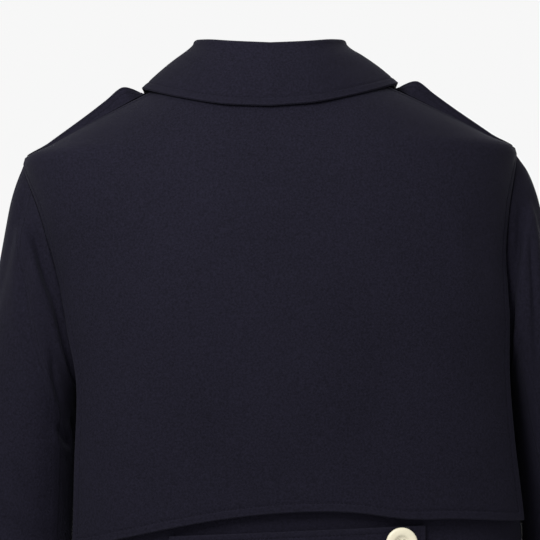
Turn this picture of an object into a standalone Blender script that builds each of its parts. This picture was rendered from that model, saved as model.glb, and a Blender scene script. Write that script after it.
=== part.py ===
"""A dark navy field jacket, filled out with no wearer.

Metres, +Z up. The origin lies midway between the two points where the neck meets the
shoulders, which is where a wearer holds the jacket up. The front faces -Y, the wearer's
left is +X. Tables and named sizes are in millimetres.

The torso is a skin of rings, one for each row of BODY. Every panel of the body is cut
from that skin, and whatever lies on a panel is made from the skin's points, moved out.
Each sleeve is a tube that starts on the armhole's own points.
"""

import math
from types import SimpleNamespace

import bmesh
import bpy
import numpy as np
from mathutils import Vector

MM = 0.001

# Cloth
WALL = 1.8
SEAM = 0.3
DOUBLE_WALL = 3.2

# Armholes, as distances along the cloth from the side of the body
ARMHOLE_BACK = 38.0
ARMHOLE_FRONT = 44.0
ARMHOLE_GAP = 0.75
ARMHOLE_STEPS = (0.0, 0.03, 0.09, 0.17, 0.28, 0.41, 0.54, 0.67, 0.79, 0.89, 0.96, 1.0)

# Fronts and their buttons
LAP = 18.0
LAP_CLEAR = 6.0
LAP_FADE = 34.0
LAP_LIFT = WALL + 0.6
FRONT_BUTTONS = (-102.0, -214.0, -326.0, -438.0, -550.0)
BUTTON_DIAMETER = 27.0
BUTTON_HEIGHT = 4.2
BUTTON_SIDES = 20

# Storm flap: the arched hem and how far the free part stands off the back
FLAP_SIDE_HEM = -387.0
FLAP_HEM_RISE = 21.0
FLAP_HEM_POWER = 1.6
FLAP_HEM_SHIFT = 0.05
FLAP_BENDS_BELOW = -350.0
FLAP_TOP = -9.2
FLAP_SEWN_TO = 0.6
FLAP_SEAM_INSET = 0.7

# Half-belt across the back
BELT_HEIGHT = 33.0
BELT_LEFT = 84.0
BELT_RIGHT = -130.0
BELT_MIDDLE = -398.5
BELT_TILT = 1.0
BELT_BUTTON_X = -109.5
BELT_BUTTON_RISE = 2.0
BELT_LIFT = 0.9

# Shoulder straps
STRAP_FOOT = 4.6
STRAP_LEAN = 0.3
STRAP_REST = 0.9
STRAP_BUTTON_DIAMETER = 18.0
STRAP_BUTTON_HEIGHT = 3.4
STRAP_BUTTON_LEVEL = -30.0

# Collar
COLLAR_WALL = 2.2
COLLAR_ROLL = 3.6
COLLAR_INSET = 2.4

# Looks
NAVY = (0.0152, 0.0146, 0.0232, 1.0)
CREAM = (0.64, 0.60, 0.46, 1.0)

# The torso, hem to neck. level is the height at the centre back.
BODY_COLUMNS = "level side_z front_z half_width back_depth front_depth square lean roll"
BODY = (
    (-665, -665, -665, 203.0, 114, 119, 2.5, -27.0, 3.4),
    (-560, -560, -560, 200.3, 112, 118, 2.5, -26.2, 3.5),
    (-470, -470, -471, 194.3, 103, 113, 2.5, -25.2, 3.5),
    (-390, -390, -392, 190.0, 97, 110, 2.55, -24.0, 3.5),
    (-312, -313, -316, 185.3, 100, 114, 2.6, -20.7, 3.1),
    (-245, -255, -263, 181.4, 105, 119, 2.7, -19.4, 2.5),
    (-190, -206, -226, 186.0, 108, 118, 2.7, -15.0, 2.1),
    (-125, -142, -184, 196.5, 105, 112, 2.7, -7.2, 1.6),
    (-85, -100, -150, 204.0, 99, 104, 2.6, -3.0, 1.3),
    (-58, -67, -124, 208.0, 90, 97, 2.5, 0.0, 1.2),
    (-46, -54.5, -112, 185.0, 84, 92, 2.45, 0.0, 1.2),
    (-34, -35.5, -100, 150.0, 78, 87, 2.4, 0.0, 1.2),
    (-23, -17, -89, 115.0, 72, 82, 2.35, 0.0, 1.2),
    (-14.5, -4.5, -81, 90.0, 66.5, 78, 2.3, 0.0, 1.2),
    (-8, 2.5, -75, 75.0, 62, 74, 2.25, 0.0, 1.2),
)
UNDERARM = -245.0
SHOULDER = -58.0
NECK = -8.0
HEM = -665.0

# The flap's free sides: distance in from the side of the body, and how far they stand off
FLAP_COLUMNS = "level inset off_side off_middle"
FLAP = (
    (-420, 39.0, 9.5, 7.5),
    (-390, 41.0, 9.5, 6.5),
    (-312, 45.5, 9.5, 5.0),
    (-245, 48.5, 9.5, 4.0),
    (-200, 48.5, 9.0, 3.2),
    (-170, 46.5, 6.0, 2.6),
    (-150, 43.0, 2.6, 2.0),
    (-125, 38.7, 0.35, 1.4),
    (-58, 4.0, 0.7, 1.0),
    (-23, 19.0, 0.4, 0.55),
    (-14, 20.4, 0.35, 0.4),
    (-9.2, 21.0, 0.35, 0.4),
)

# Collar, from the centre back round to the front end: neck seam, roll, outer edge.
COLLAR_COLUMNS = "turn roll_x roll_y roll_z edge_x edge_y edge_z belly"
COLLAR = (
    (0, 0.0, 55.5, 29.6, 0.0, 80.0, -25.0, 3.0),
    (30, 31.0, 50.5, 31.0, 34.0, 78.0, -23.0, 3.0),
    (60, 52.5, 31.5, 33.0, 78.0, 59.0, -15.0, 2.0),
    (90, 61.5, 3.0, 33.5, 109.6, 8.0, -6.0, 1.0),
    (105, 60.5, -14.0, 27.0, 109.0, -20.0, -7.5, 1.0),
    (120, 57.0, -32.0, 14.0, 106.0, -45.0, -22.0, 2.0),
    (150, 36.0, -59.0, -22.0, 80.0, -89.0, -78.0, 3.0),
    (175, 4.5, -73.0, -47.0, 36.0, -107.0, -116.0, 3.0),
)

# Shoulder strap, sleeve head to neck end: the front and back edge's distance from the
# shoulder seam, and how far each stands off the cloth
STRAP_COLUMNS = "level back_edge front_edge off_back off_front"
STRAP = (
    (-55.5, -1.5, 33.0, 0.7, 0.7),
    (-50.5, 3.0, 35.0, 1.5, 1.6),
    (-45.0, 6.5, 35.5, 3.1, 2.2),
    (-36.0, 8.5, 36.0, 6.6, 2.6),
    (-29.0, 8.0, 36.0, 10.4, 2.8),
    (-24.6, 8.0, 36.0, 13.6, 2.8),
    (-19.8, -9.0, 17.0, 0.9, 0.8),
)

# Sleeves below the armhole. The inner point faces the body, the outer one the silhouette.
# The seams are angles round the section from the outer point, over the back or the front.
SLEEVE_COLUMNS = (
    "ring inner_x inner_z outer_x outer_z mid_y half_depth pitch back_seam front_seam hold"
)
SLEEVE_LEFT = (
    (0, 164.7, -262.7, 207.5, -71.0, -3, 40, 0, 55, 115, 1.0),
    (1, 164.7, -265.5, 214.5, -85.0, -4, 47, 0, 58, 120, 0.72),
    (2, 164.7, -268.5, 221.5, -104.0, -5, 53, 0, 67, 126, 0.42),
    (3, 164.7, -272.0, 227.5, -133.0, -7, 58, 0, 91, 132, 0.18),
    (4, 164.6, -276.5, 234.0, -170.0, -10, 61, 0, 98, 138, 0.05),
    (5, 164.6, -282.5, 241.0, -210.0, -14, 63, 0, 122, 142, 0.0),
    (6, 164.8, -291.0, 248.0, -255.0, -18, 64, 0, 131, 145, 0.0),
    (7, 165.2, -318.0, 255.5, -305.0, -23, 64, 0, 133, 147, 0.0),
    (8, 165.4, -357.0, 261.5, -354.0, -26, 62, 1, 135, 148, 0.0),
    (9, 165.9, -400.0, 266.0, -400.0, -27, 60, 2, 136, 148, 0.0),
    (10, 168.5, -450.0, 268.0, -450.0, -28, 57, 4, 138, 146, 0.0),
    (11, 171.5, -500.0, 269.0, -500.0, -31, 54, 7, 140, 144, 0.0),
    (12, 176.0, -550.0, 269.0, -550.0, -36, 51, 10, 142, 142, 0.0),
    (13, 181.0, -600.0, 268.5, -600.0, -43, 49, 12, 144, 141, 0.0),
    (14, 186.0, -645.0, 268.0, -645.0, -50, 47, 13, 145, 140, 0.0),
)
SLEEVE_RIGHT = (
    (0, -204.3, -247.0, -208.0, -62.7, -3, 40, 0, 107, 115, 1.0),
    (1, -204.3, -250.5, -219.0, -77.0, -4, 47, 0, 118, 119, 0.72),
    (2, -204.4, -254.5, -226.5, -95.0, -5, 53, 0, 131, 124, 0.42),
    (3, -204.6, -260.0, -233.0, -123.0, -7, 58, 0, 126, 129, 0.18),
    (4, -204.9, -267.0, -240.0, -160.0, -10, 61, 0, 124, 134, 0.05),
    (5, -205.4, -277.0, -252.0, -200.0, -14, 63, 0, 121, 138, 0.0),
    (6, -206.4, -291.0, -266.0, -248.0, -18, 64, 0, 122, 142, 0.0),
    (7, -208.2, -318.0, -280.0, -303.0, -23, 64, 0, 118, 145, 0.0),
    (8, -212.1, -357.0, -293.0, -352.0, -26, 62, 1, 116, 147, 0.0),
    (9, -215.2, -400.0, -301.0, -398.0, -27, 60, 2, 116, 148, 0.0),
    (10, -219.5, -450.0, -308.0, -448.0, -28, 57, 4, 116, 146, 0.0),
    (11, -224.5, -500.0, -313.0, -499.0, -31, 54, 7, 116, 144, 0.0),
    (12, -230.0, -550.0, -316.0, -549.0, -36, 51, 10, 116, 142, 0.0),
    (13, -235.5, -600.0, -317.0, -599.0, -43, 49, 12, 117, 141, 0.0),
    (14, -240.0, -645.0, -317.0, -645.0, -50, 47, 13, 117, 140, 0.0),
)
SLEEVE_RINGS = (0, 0.5, 1, 1.6, 2.2, 3, 3.5, 4, 4.5, 5, 5.5, 6, 7, 8, 9, 10, 11, 12, 13, 14)
SLEEVE_SQUARE = 2.15

# The armhole column where each sleeve's back and front seam starts, counted up from the
# underarm, and the sleeves' largest folds. A fold lies at an angle round the sleeve from
# the outer point, back positive, over a stretch of rings.
SLEEVE_SEAMS = {"left": (9, 4), "right": (4, 4)}
FOLD_COLUMNS = "angle ring half_angle half_rings depth"
SLEEVE_FOLDS = {
    "left": (
        (48, 1.3, 26, 0.9, 3.5),
        (-50, 1.4, 26, 0.9, 3.0),
        (120, 8.7, 45, 0.8, 3.0),
        (-120, 9.6, 50, 0.9, 4.0),
        (60, 11.4, 50, 0.8, 2.5),
    ),
    "right": (
        (52, 1.4, 30, 0.9, 3.5),
        (-52, 1.3, 26, 0.9, 3.0),
        (115, 8.9, 45, 0.9, 3.0),
        (-118, 9.3, 50, 0.8, 4.0),
        (70, 11.8, 45, 0.9, 2.5),
    ),
}


class Rows:
    """A table of sizes with named columns, its rows joined by smooth curves that never
    overshoot them. The first column is where a row stands."""

    def __init__(self, columns, rows):
        self.names = columns.split()
        values = np.array(rows, float)
        self.where = values[:, 0]
        self.values = values
        step = np.diff(self.where)[:, None]
        rise = np.diff(values, axis=0) / step
        slope = np.zeros_like(values)
        slope[0] = rise[0]
        slope[-1] = rise[-1]
        before = rise[:-1]
        after = rise[1:]
        same_way = before * after > 0
        total = np.where(same_way, before + after, 1.0)
        slope[1:-1] = np.where(same_way, 2 * before * after / total, 0.0)
        self.slope = slope

    def at(self, place):
        """Every column at one place, as named values."""
        place = min(max(place, self.where[0]), self.where[-1])
        i = int(np.searchsorted(self.where, place, side="right")) - 1
        i = min(max(i, 0), len(self.where) - 2)
        span = self.where[i + 1] - self.where[i]
        t = (place - self.where[i]) / span
        value = (
            (2 * t**3 - 3 * t**2 + 1) * self.values[i]
            + (t**3 - 2 * t**2 + t) * span * self.slope[i]
            + (3 * t**2 - 2 * t**3) * self.values[i + 1]
            + (t**3 - t**2) * span * self.slope[i + 1]
        )
        return SimpleNamespace(**dict(zip(self.names, value)))


def superellipse(angle, half_x, half_y, square):
    """A point of a squared ellipse; angle 0 is on +X."""
    cos = np.cos(angle)
    sin = np.sin(angle)
    x = half_x * np.sign(cos) * np.abs(cos) ** (2 / square)
    y = half_y * np.sign(sin) * np.abs(sin) ** (2 / square)
    return x, y


class Skin:
    """The torso's outer face, as a fine lattice for its back and its front half.

    A place on it is a level and a distance along the cloth from the wearer's left side,
    given in millimetres, or from the right side where it is negative.
    """

    LEVELS = 421
    TURNS = 241

    def __init__(self, body):
        self.levels = np.linspace(HEM, NECK, self.LEVELS)
        self.halves = {}
        self.lengths = {}
        for half, side in (("back", 1), ("front", -1)):
            points = np.zeros((self.LEVELS, self.TURNS, 3))
            lengths = np.zeros(self.LEVELS)
            for i, level in enumerate(self.levels):
                points[i], lengths[i] = self.ring(body.at(level), side)
            along = np.gradient(points, axis=1)
            up = np.gradient(points, axis=0)
            normals = np.cross(along, up) * side
            normals /= np.linalg.norm(normals, axis=2, keepdims=True)
            self.halves[half] = (points, normals)
            self.lengths[half] = lengths
        back = self.halves["back"][1]
        front = self.halves["front"][1]
        for end in (0, -1):
            shared = back[:, end] + front[:, end]
            shared /= np.linalg.norm(shared, axis=1, keepdims=True)
            back[:, end] = shared
            front[:, end] = shared

    def ring(self, row, side):
        """One half of a ring, its points spaced evenly along the cloth, and its length."""
        depth = row.back_depth if side > 0 else row.front_depth
        end_z = row.level if side > 0 else row.front_z
        turn = np.linspace(0, 1, 1201)
        angle = math.pi * (turn - np.sin(4 * math.pi * turn) / (4 * math.pi) * 0.9)
        x, y = superellipse(angle, row.half_width, depth, row.square)
        z = row.side_z + (end_z - row.side_z) * (y / depth) ** 2
        z -= x * math.tan(math.radians(row.roll))
        x = x + row.lean
        y = y * side
        dense = np.stack([x, y, z], axis=1)
        steps = np.linalg.norm(np.diff(dense, axis=0), axis=1)
        length = np.concatenate([[0.0], np.cumsum(steps)])
        even = np.linspace(0, length[-1], self.TURNS)
        found = np.stack([np.interp(even, length, dense[:, k]) for k in range(3)], axis=1)
        return found, length[-1]

    def length(self, half, level):
        return float(np.interp(level, self.levels, self.lengths[half]))

    def point(self, half, level, share, out=0.0):
        """The point at a level and a share of the way from the left side to the right."""
        points, normals = self.halves[half]
        i = (level - HEM) / (NECK - HEM) * (self.LEVELS - 1)
        k = share * (self.TURNS - 1)
        i = min(max(i, 0.0), self.LEVELS - 1.001)
        k = min(max(k, 0.0), self.TURNS - 1.001)
        i0 = int(i)
        k0 = int(k)
        di = i - i0
        dk = k - k0
        weights = ((1 - di) * (1 - dk), (1 - di) * dk, di * (1 - dk), di * dk)
        places = ((i0, k0), (i0, k0 + 1), (i0 + 1, k0), (i0 + 1, k0 + 1))
        spot = sum(w * points[p] for w, p in zip(weights, places))
        normal = sum(w * normals[p] for w, p in zip(weights, places))
        normal = normal / np.linalg.norm(normal)
        return spot + normal * out

    def normal(self, half, level, share):
        """The direction away from the body."""
        return self.point(half, level, share, 1.0) - self.point(half, level, share, 0.0)


skin = Skin(Rows(BODY_COLUMNS, BODY))
flap_rows = Rows(FLAP_COLUMNS, FLAP)
collar_rows = Rows(COLLAR_COLUMNS, COLLAR)
strap_rows = Rows(STRAP_COLUMNS, STRAP)


# ---------------------------------------------------------------- meshes


def sheet_normals(points, around=False):
    """The lattice's normals, by the right hand from its rows to its columns."""
    down = np.gradient(points, axis=0)
    if around:
        ring = np.concatenate([points[:, -1:], points, points[:, :1]], axis=1)
        across = np.gradient(ring, axis=1)[:, 1:-1]
    else:
        across = np.gradient(points, axis=1)
    normals = np.cross(down, across)
    return normals / np.linalg.norm(normals, axis=2, keepdims=True)


def cloth(name, face, inside, material, parent):
    """A wall of cloth between two lattices of points, rows by columns: its outer face and
    its inside. Both are cut into triangles the same way, so that layers stay apart."""
    rows, columns = face.shape[:2]
    mesh = bpy.data.meshes.new(name)
    build = bmesh.new()
    verts = []
    for lattice in (face, inside):
        for row in lattice:
            verts.append([build.verts.new(point * MM) for point in row])
    outer = verts[:rows]
    inner = verts[rows:]
    for i in range(rows - 1):
        for k in range(columns - 1):
            corners = ((i, k), (i + 1, k), (i + 1, k + 1), (i, k + 1))
            a, b, c, d = [outer[r][q] for r, q in corners]
            build.faces.new((a, b, c))
            build.faces.new((a, c, d))
            a, b, c, d = [inner[r][q] for r, q in corners]
            build.faces.new((c, b, a))
            build.faces.new((d, c, a))
    rim = [(i, 0) for i in range(rows)]
    rim += [(rows - 1, k) for k in range(1, columns)]
    rim += [(i, columns - 1) for i in range(rows - 2, -1, -1)]
    rim += [(0, k) for k in range(columns - 2, 0, -1)]
    for start, end in zip(rim, rim[1:] + rim[:1]):
        a, b, c, d = [side[r][q] for side, (r, q) in
                      ((outer, end), (outer, start), (inner, start), (inner, end))]
        if start < end:
            build.faces.new((a, b, c))
            build.faces.new((a, c, d))
        else:
            build.faces.new((a, b, d))
            build.faces.new((b, c, d))
    if build.calc_volume(signed=True) < 0:
        bmesh.ops.reverse_faces(build, faces=build.faces[:])
    build.to_mesh(mesh)
    build.free()
    mesh.shade_smooth()
    mesh.set_sharp_from_angle(angle=math.radians(50))
    return place(name, mesh, material, parent)


def place(name, mesh, material, parent):
    thing = bpy.data.objects.new(name, mesh)
    mesh.materials.append(material)
    jacket.objects.link(thing)
    thing.parent = parent
    return thing


def surface_material(name, colour, roughness):
    material = bpy.data.materials.new(name)
    material.use_nodes = True
    shader = material.node_tree.nodes["Principled BSDF"]
    shader.inputs["Base Color"].default_value = colour
    shader.inputs["Roughness"].default_value = roughness
    shader.inputs["Metallic"].default_value = 0.0
    return material


# ---------------------------------------------------------------- body panels


def armhole_depth(share, widest):
    """How far the armhole is cut in from the side, at a share of its height."""
    if share <= 0.0 or share >= 1.0:
        return 0.0
    low = min(share / 0.36, 1.0)
    high = min((1.0 - share) / 0.34, 1.0)
    round_low = math.sqrt(max(1 - (1 - low) ** 2.3, 0.0))
    round_high = max(1 - (1 - high) ** 2.4, 0.0) ** 0.8
    return widest * round_low * round_high


def armhole_share(level):
    return (level - UNDERARM) / (SHOULDER - UNDERARM)


def side_cut(half, level):
    """How far a body panel's edge lies in from the side: half a seam, or the armhole."""
    widest = ARMHOLE_BACK if half == "back" else ARMHOLE_FRONT
    return SEAM / 2 + armhole_depth(armhole_share(level), widest)


ARMHOLE_LEVELS = [UNDERARM + t * (SHOULDER - UNDERARM) for t in ARMHOLE_STEPS]
SKIRT_LEVELS = list(np.linspace(HEM, UNDERARM, 11)[:-1])
YOKE_LEVELS = [-51.5, -45.5, -39.5, -34, -28.5, -23, -18.5, -14, -11, NECK]
PANEL_LEVELS = SKIRT_LEVELS + ARMHOLE_LEVELS + YOKE_LEVELS


def spread(count):
    """Shares from 0 to 1, closer together at both ends, where the body turns."""
    even = np.linspace(0, 1, count + 1)
    return 0.55 * even + 0.45 * (0.5 - 0.5 * np.cos(math.pi * even))


def panel(half, levels, left_edge, right_edge, count, lift):
    """A lattice of points on the skin between two edges, given as distances from the left
    side, and the same lattice a wall further in."""
    face = []
    inside = []
    for level in levels:
        length = skin.length(half, level)
        start = left_edge(level) / length
        end = right_edge(level) / length
        shares = start + (end - start) * spread(count)
        outs = [lift(level, share * length) for share in shares]
        face.append([skin.point(half, level, s, o) for s, o in zip(shares, outs)])
        inside.append([skin.point(half, level, s, o - WALL) for s, o in zip(shares, outs)])
    return np.array(face), np.array(inside)


def make_back(parent):
    face, inside = panel(
        "back",
        PANEL_LEVELS,
        lambda level: side_cut("back", level),
        lambda level: skin.length("back", level) - side_cut("back", level),
        18,
        lambda level, along: 0.0,
    )
    cloth("back", face, inside, navy, parent)


def lap_lift(level, along):
    """The right front stands out over the left one where they lap."""
    centre = skin.length("front", level) / 2
    past = along - centre - LAP
    fade = min(max((past - LAP_CLEAR) / LAP_FADE, 0.0), 1.0)
    return LAP_LIFT * (1 - fade * fade * (3 - 2 * fade))


def make_fronts(parent):
    face, inside = panel(
        "front",
        PANEL_LEVELS,
        lambda level: side_cut("front", level),
        lambda level: skin.length("front", level) / 2 + LAP,
        10,
        lambda level, along: 0.0,
    )
    cloth("front_left", face, inside, navy, parent)
    face, inside = panel(
        "front",
        PANEL_LEVELS,
        lambda level: skin.length("front", level) / 2 - LAP,
        lambda level: skin.length("front", level) - side_cut("front", level),
        10,
        lap_lift,
    )
    cloth("front_right", face, inside, navy, parent)


def flap_edge(level):
    """The flap's edge: at the armhole seam where it is sewn, straight down where free."""
    row = flap_rows.at(level)
    if level > SHOULDER:
        return row.inset
    sewn = side_cut("back", level) + FLAP_SEAM_INSET
    share = armhole_share(level)
    if share >= FLAP_SEWN_TO:
        return max(sewn, 0.0)
    return max(row.inset, sewn)


def flap_hem(across):
    """The height of the arched hem, at a share of the flap's half width from its middle.
    The arch is highest a little to the wearer's left."""
    across += FLAP_HEM_SHIFT * (1 - across * across)
    return FLAP_SIDE_HEM + FLAP_HEM_RISE * max(1 - across * across, 0.0) ** FLAP_HEM_POWER


def make_flap(parent):
    """The flap's rows follow the back's, and the lowest ones bend to its arched hem."""
    upper = [level for level in PANEL_LEVELS if FLAP_BENDS_BELOW < level < FLAP_TOP] + [FLAP_TOP]
    shares = spread(18)
    join = upper[0]
    lattice = []
    for weight in (0.0, 0.22, 0.5):
        row = []
        for share in shares:
            hem = flap_hem(2 * share - 1)
            row.append((hem + (join - hem) * weight, share))
        lattice.append(row)
    for level in upper:
        lattice.append([(level, share) for share in shares])
    face = []
    inside = []
    for row in lattice:
        outer = []
        inner = []
        for level, share in row:
            length = skin.length("back", level)
            edge = flap_edge(level)
            along = (edge + (length - 2 * edge) * share) / length
            size = flap_rows.at(level)
            near = (2 * share - 1) ** 4
            off = size.off_middle + (size.off_side - size.off_middle) * near
            outer.append(skin.point("back", level, along, off + WALL))
            inner.append(skin.point("back", level, along, off))
        face.append(outer)
        inside.append(inner)
    cloth("storm_flap", np.array(face), np.array(inside), navy, parent)


# ---------------------------------------------------------------- sleeves


def armhole_points(side):
    """The armhole's points from the underarm up over the back, round the shoulder point
    and down the front, and the body's normals there. All lie just inside the hole."""
    places = [("back", UNDERARM, 0.0)]
    for level in ARMHOLE_LEVELS[1:-1]:
        places.append(("back", level, side_cut("back", level)))
    places.append(("back", SHOULDER, 0.0))
    for level in ARMHOLE_LEVELS[-2:0:-1]:
        places.append(("front", level, side_cut("front", level)))
    points = []
    normals = []
    for half, level, cut in places:
        share = cut / skin.length(half, level)
        if side == "right":
            share = 1 - share
        points.append(skin.point(half, level, share))
        normals.append(skin.normal(half, level, share))
    points = np.array(points)
    normals = np.array(normals)
    along = np.roll(points, -1, axis=0) - np.roll(points, 1, axis=0)
    inward = np.cross(normals, along)
    inward /= np.linalg.norm(inward, axis=1, keepdims=True)
    if ((points.mean(axis=0) - points) * inward).sum() < 0:
        inward = -inward
    return points + inward * ARMHOLE_GAP, normals


def sleeve_angles(side, row, columns):
    """The angle of each column round the sleeve, from the outer point over the back."""
    back_start, front_start = SLEEVE_SEAMS[side]
    top = len(ARMHOLE_STEPS) - 1
    back_seam = back_start
    front_seam = columns - front_start
    marks = (back_seam, front_seam, columns + back_seam)
    angles = (row.back_seam, -row.front_seam, row.back_seam - 360.0)
    settled = np.interp(np.arange(back_seam, columns + back_seam), marks, angles)
    settled = np.concatenate([settled[columns - back_seam :] + 360, settled[: columns - back_seam]])
    steps = np.array(ARMHOLE_STEPS)
    start_back = np.degrees(np.arccos(np.clip(2 * steps - 1, -1, 1)))
    start = np.concatenate([start_back, -start_back[top - 1 : 0 : -1]])
    fade = min(row.ring / 4.5, 1.0)
    fade = fade * fade * (3 - 2 * fade)
    return start * (1 - fade) + settled * fade


def sleeve_section(row, angles):
    """The section's points, before it is pulled to the armhole."""
    inner = np.array([row.inner_x, row.mid_y, row.inner_z])
    outer = np.array([row.outer_x, row.mid_y, row.outer_z])
    middle = (inner + outer) / 2
    reach = (outer - inner) / 2
    pitch = math.radians(row.pitch)
    depth = np.array([0.0, math.cos(pitch), -math.sin(pitch)]) * row.half_depth
    cos, sin = superellipse(np.radians(angles), 1.0, 1.0, SLEEVE_SQUARE)
    return middle + np.outer(cos, reach) + np.outer(sin, depth)


def fold_depth(side, ring, angles):
    """How far the sleeve's largest folds press the cloth in."""
    depth = np.zeros(len(angles))
    for row in SLEEVE_FOLDS[side]:
        fold = SimpleNamespace(**dict(zip(FOLD_COLUMNS.split(), row)))
        turn = (angles - fold.angle + 180) % 360 - 180
        near = np.exp(-((turn / fold.half_angle) ** 2) - ((ring - fold.ring) / fold.half_rings) ** 2)
        depth += fold.depth * near
    return depth


def sleeve_lattice(side):
    """The whole sleeve's outer face and inside, ring by ring, its columns all round."""
    rows = Rows(SLEEVE_COLUMNS, SLEEVE_LEFT if side == "left" else SLEEVE_RIGHT)
    start, start_normals = armhole_points(side)
    columns = len(start)
    first = sleeve_section(rows.at(0), sleeve_angles(side, rows.at(0), columns))
    pull = start - first
    face = []
    for ring in SLEEVE_RINGS:
        row = rows.at(ring)
        angles = sleeve_angles(side, row, columns)
        section = sleeve_section(row, angles) + pull * row.hold
        centre = section.mean(axis=0)
        inward = centre - section
        inward /= np.linalg.norm(inward, axis=1, keepdims=True)
        face.append(section + inward * fold_depth(side, ring, angles)[:, None] * (ring > 0))
    face = np.array(face)
    normals = sheet_normals(face, around=True)
    centre = face.mean(axis=1, keepdims=True)
    if ((face - centre) * normals).sum() < 0:
        normals = -normals
    normals[0] += start_normals
    normals[0] /= np.linalg.norm(normals[0], axis=1, keepdims=True)
    return face, face - normals * WALL


def narrowed(lattice, gap):
    """The lattice with its first and last column moved in by a gap, for a seam."""
    moved = lattice.copy()
    for end, near in ((0, 1), (-1, -2)):
        along = np.gradient(lattice[:, end], axis=0)
        along /= np.linalg.norm(along, axis=1, keepdims=True)
        across = lattice[:, near] - lattice[:, end]
        across -= along * (across * along).sum(axis=1, keepdims=True)
        across /= np.linalg.norm(across, axis=1, keepdims=True)
        moved[:, end] = lattice[:, end] + across * gap
    return moved


def make_sleeve(side, parent):
    face, inside = sleeve_lattice(side)
    columns = face.shape[1]
    back_seam, front_start = SLEEVE_SEAMS[side]
    front_seam = columns - front_start
    upper = list(range(back_seam, front_seam + 1))
    under = [k % columns for k in range(front_seam, columns + back_seam + 1)]
    for name, chosen in (("upper", upper), ("under", under)):
        outer = narrowed(face[:, chosen], SEAM / 2)
        inner = narrowed(inside[:, chosen], SEAM / 2)
        cloth(f"sleeve_{name}_{side}", outer, inner, navy, parent)


# ---------------------------------------------------------------- collar


def collar_section(turn):
    """The collar's profile at one turn from the centre back, for the wearer's left side:
    up the stand, over the roll and down the fall to the outer edge."""
    row = collar_rows.at(turn)
    neck = Rows(BODY_COLUMNS, BODY).at(NECK)
    angle = math.radians(90 - turn)
    depth = neck.back_depth if turn <= 90 else neck.front_depth
    end_z = NECK if turn <= 90 else neck.front_z
    x, y = superellipse(angle, neck.half_width, depth, neck.square)
    z = neck.side_z + (end_z - neck.side_z) * (y / depth) ** 2
    seam = np.array([x, y, z + 2 * SEAM])
    flat = np.array([x, y, 0.0])
    seam -= flat / np.linalg.norm(flat) * COLLAR_INSET
    roll = np.array([row.roll_x, row.roll_y, row.roll_z])
    edge = np.array([row.edge_x, row.edge_y, row.edge_z])
    away = (edge - seam) * np.array([1.0, 1.0, 0.0])
    away /= np.linalg.norm(away)
    up = np.array([0.0, 0.0, 1.0])
    profile = [seam]
    stand_top = roll - away * COLLAR_ROLL - up * COLLAR_ROLL
    profile.append(seam + (stand_top - seam) * 0.5 + away * 0.6)
    profile.append(stand_top)
    profile.append(roll - away * COLLAR_ROLL * 0.75 - up * COLLAR_ROLL * 0.3)
    profile.append(roll)
    profile.append(roll + away * COLLAR_ROLL * 0.85 - up * COLLAR_ROLL * 0.35)
    fall_top = roll + away * COLLAR_ROLL * 1.3 - up * COLLAR_ROLL * 1.3
    profile.append(fall_top)
    bulge = away * 0.7 + up * 0.7
    for share in (0.3, 0.62, 1.0):
        swell = bulge * row.belly * math.sin(math.pi * share)
        profile.append(fall_top + (edge - fall_top) * share + swell)
    return np.array(profile)


def make_collar(parent):
    turns = (0, 12, 24, 36, 48, 60, 72, 82, 92, 102, 114, 126, 138, 150, 163, 175)
    neck = Rows(BODY_COLUMNS, BODY).at(NECK)
    half = [collar_section(turn) for turn in turns]
    mirrored = [section * np.array([-1, 1, 1]) for section in reversed(half[1:])]
    face = np.array(mirrored + half)
    tilt = np.interp(range(face.shape[1]), (0, 4, face.shape[1] - 1), (neck.roll, 0.0, neck.roll))
    face[:, :, 2] -= face[:, :, 0] * np.tan(np.radians(tilt))
    normals = sheet_normals(face)
    middle = len(face) // 2
    if normals[middle, -1, 1] < 0:
        normals = -normals
    cloth("collar", face, face - normals * COLLAR_WALL, navy, parent)


# ---------------------------------------------------------------- straps, belt, buttons


def strap_point(side, row, along, out):
    """A point on the shoulder, at a distance behind or, if negative, before its seam."""
    half = "back" if along >= 0 else "front"
    share = abs(along) / skin.length(half, row.level)
    if side == "right":
        share = 1 - share
    return skin.point(half, row.level, share, out)


def strap_ridge(row):
    """How far behind the shoulder seam the strap's ridge runs, above its back edge."""
    return row.back_edge - STRAP_FOOT - STRAP_LEAN * (row.off_back - STRAP_REST)


def strap_section(row):
    """Across the strap: up from its back edge on the shoulder, over its ridge and down to
    its front edge. Distances behind the seam and above the cloth, inside and outside."""
    foot = np.array([row.back_edge - DOUBLE_WALL, min(STRAP_REST, row.off_back)])
    ridge = np.array([strap_ridge(row), row.off_back])
    front = np.array([-row.front_edge, row.off_front])
    inside = [foot, (foot + ridge) / 2, ridge]
    inside += [ridge + (front - ridge) * share for share in (0.3, 0.55, 0.8, 1.0)]
    inside = np.array(inside)
    steps = np.diff(inside, axis=0)
    facing = np.stack([steps[:, 1], -steps[:, 0]], axis=1)
    facing /= np.linalg.norm(facing, axis=1, keepdims=True)
    before = np.concatenate([facing[:1], facing])
    after = np.concatenate([facing, facing[-1:]])
    mitre = before + after
    mitre /= (mitre * after).sum(axis=1, keepdims=True)
    return inside, inside + mitre * DOUBLE_WALL


def make_strap(side, parent):
    levels = (-55.5, -53, -50.5, -45, -40, -34.5, -29, -24.6, -21.8, -19.8)
    face = []
    inside = []
    for level in levels:
        row = strap_rows.at(level)
        under, over = strap_section(row)
        face.append([strap_point(side, row, along, off) for along, off in over])
        inside.append([strap_point(side, row, along, off) for along, off in under])
    cloth(f"epaulette_{side}", np.array(face), np.array(inside), navy, parent)


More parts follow.
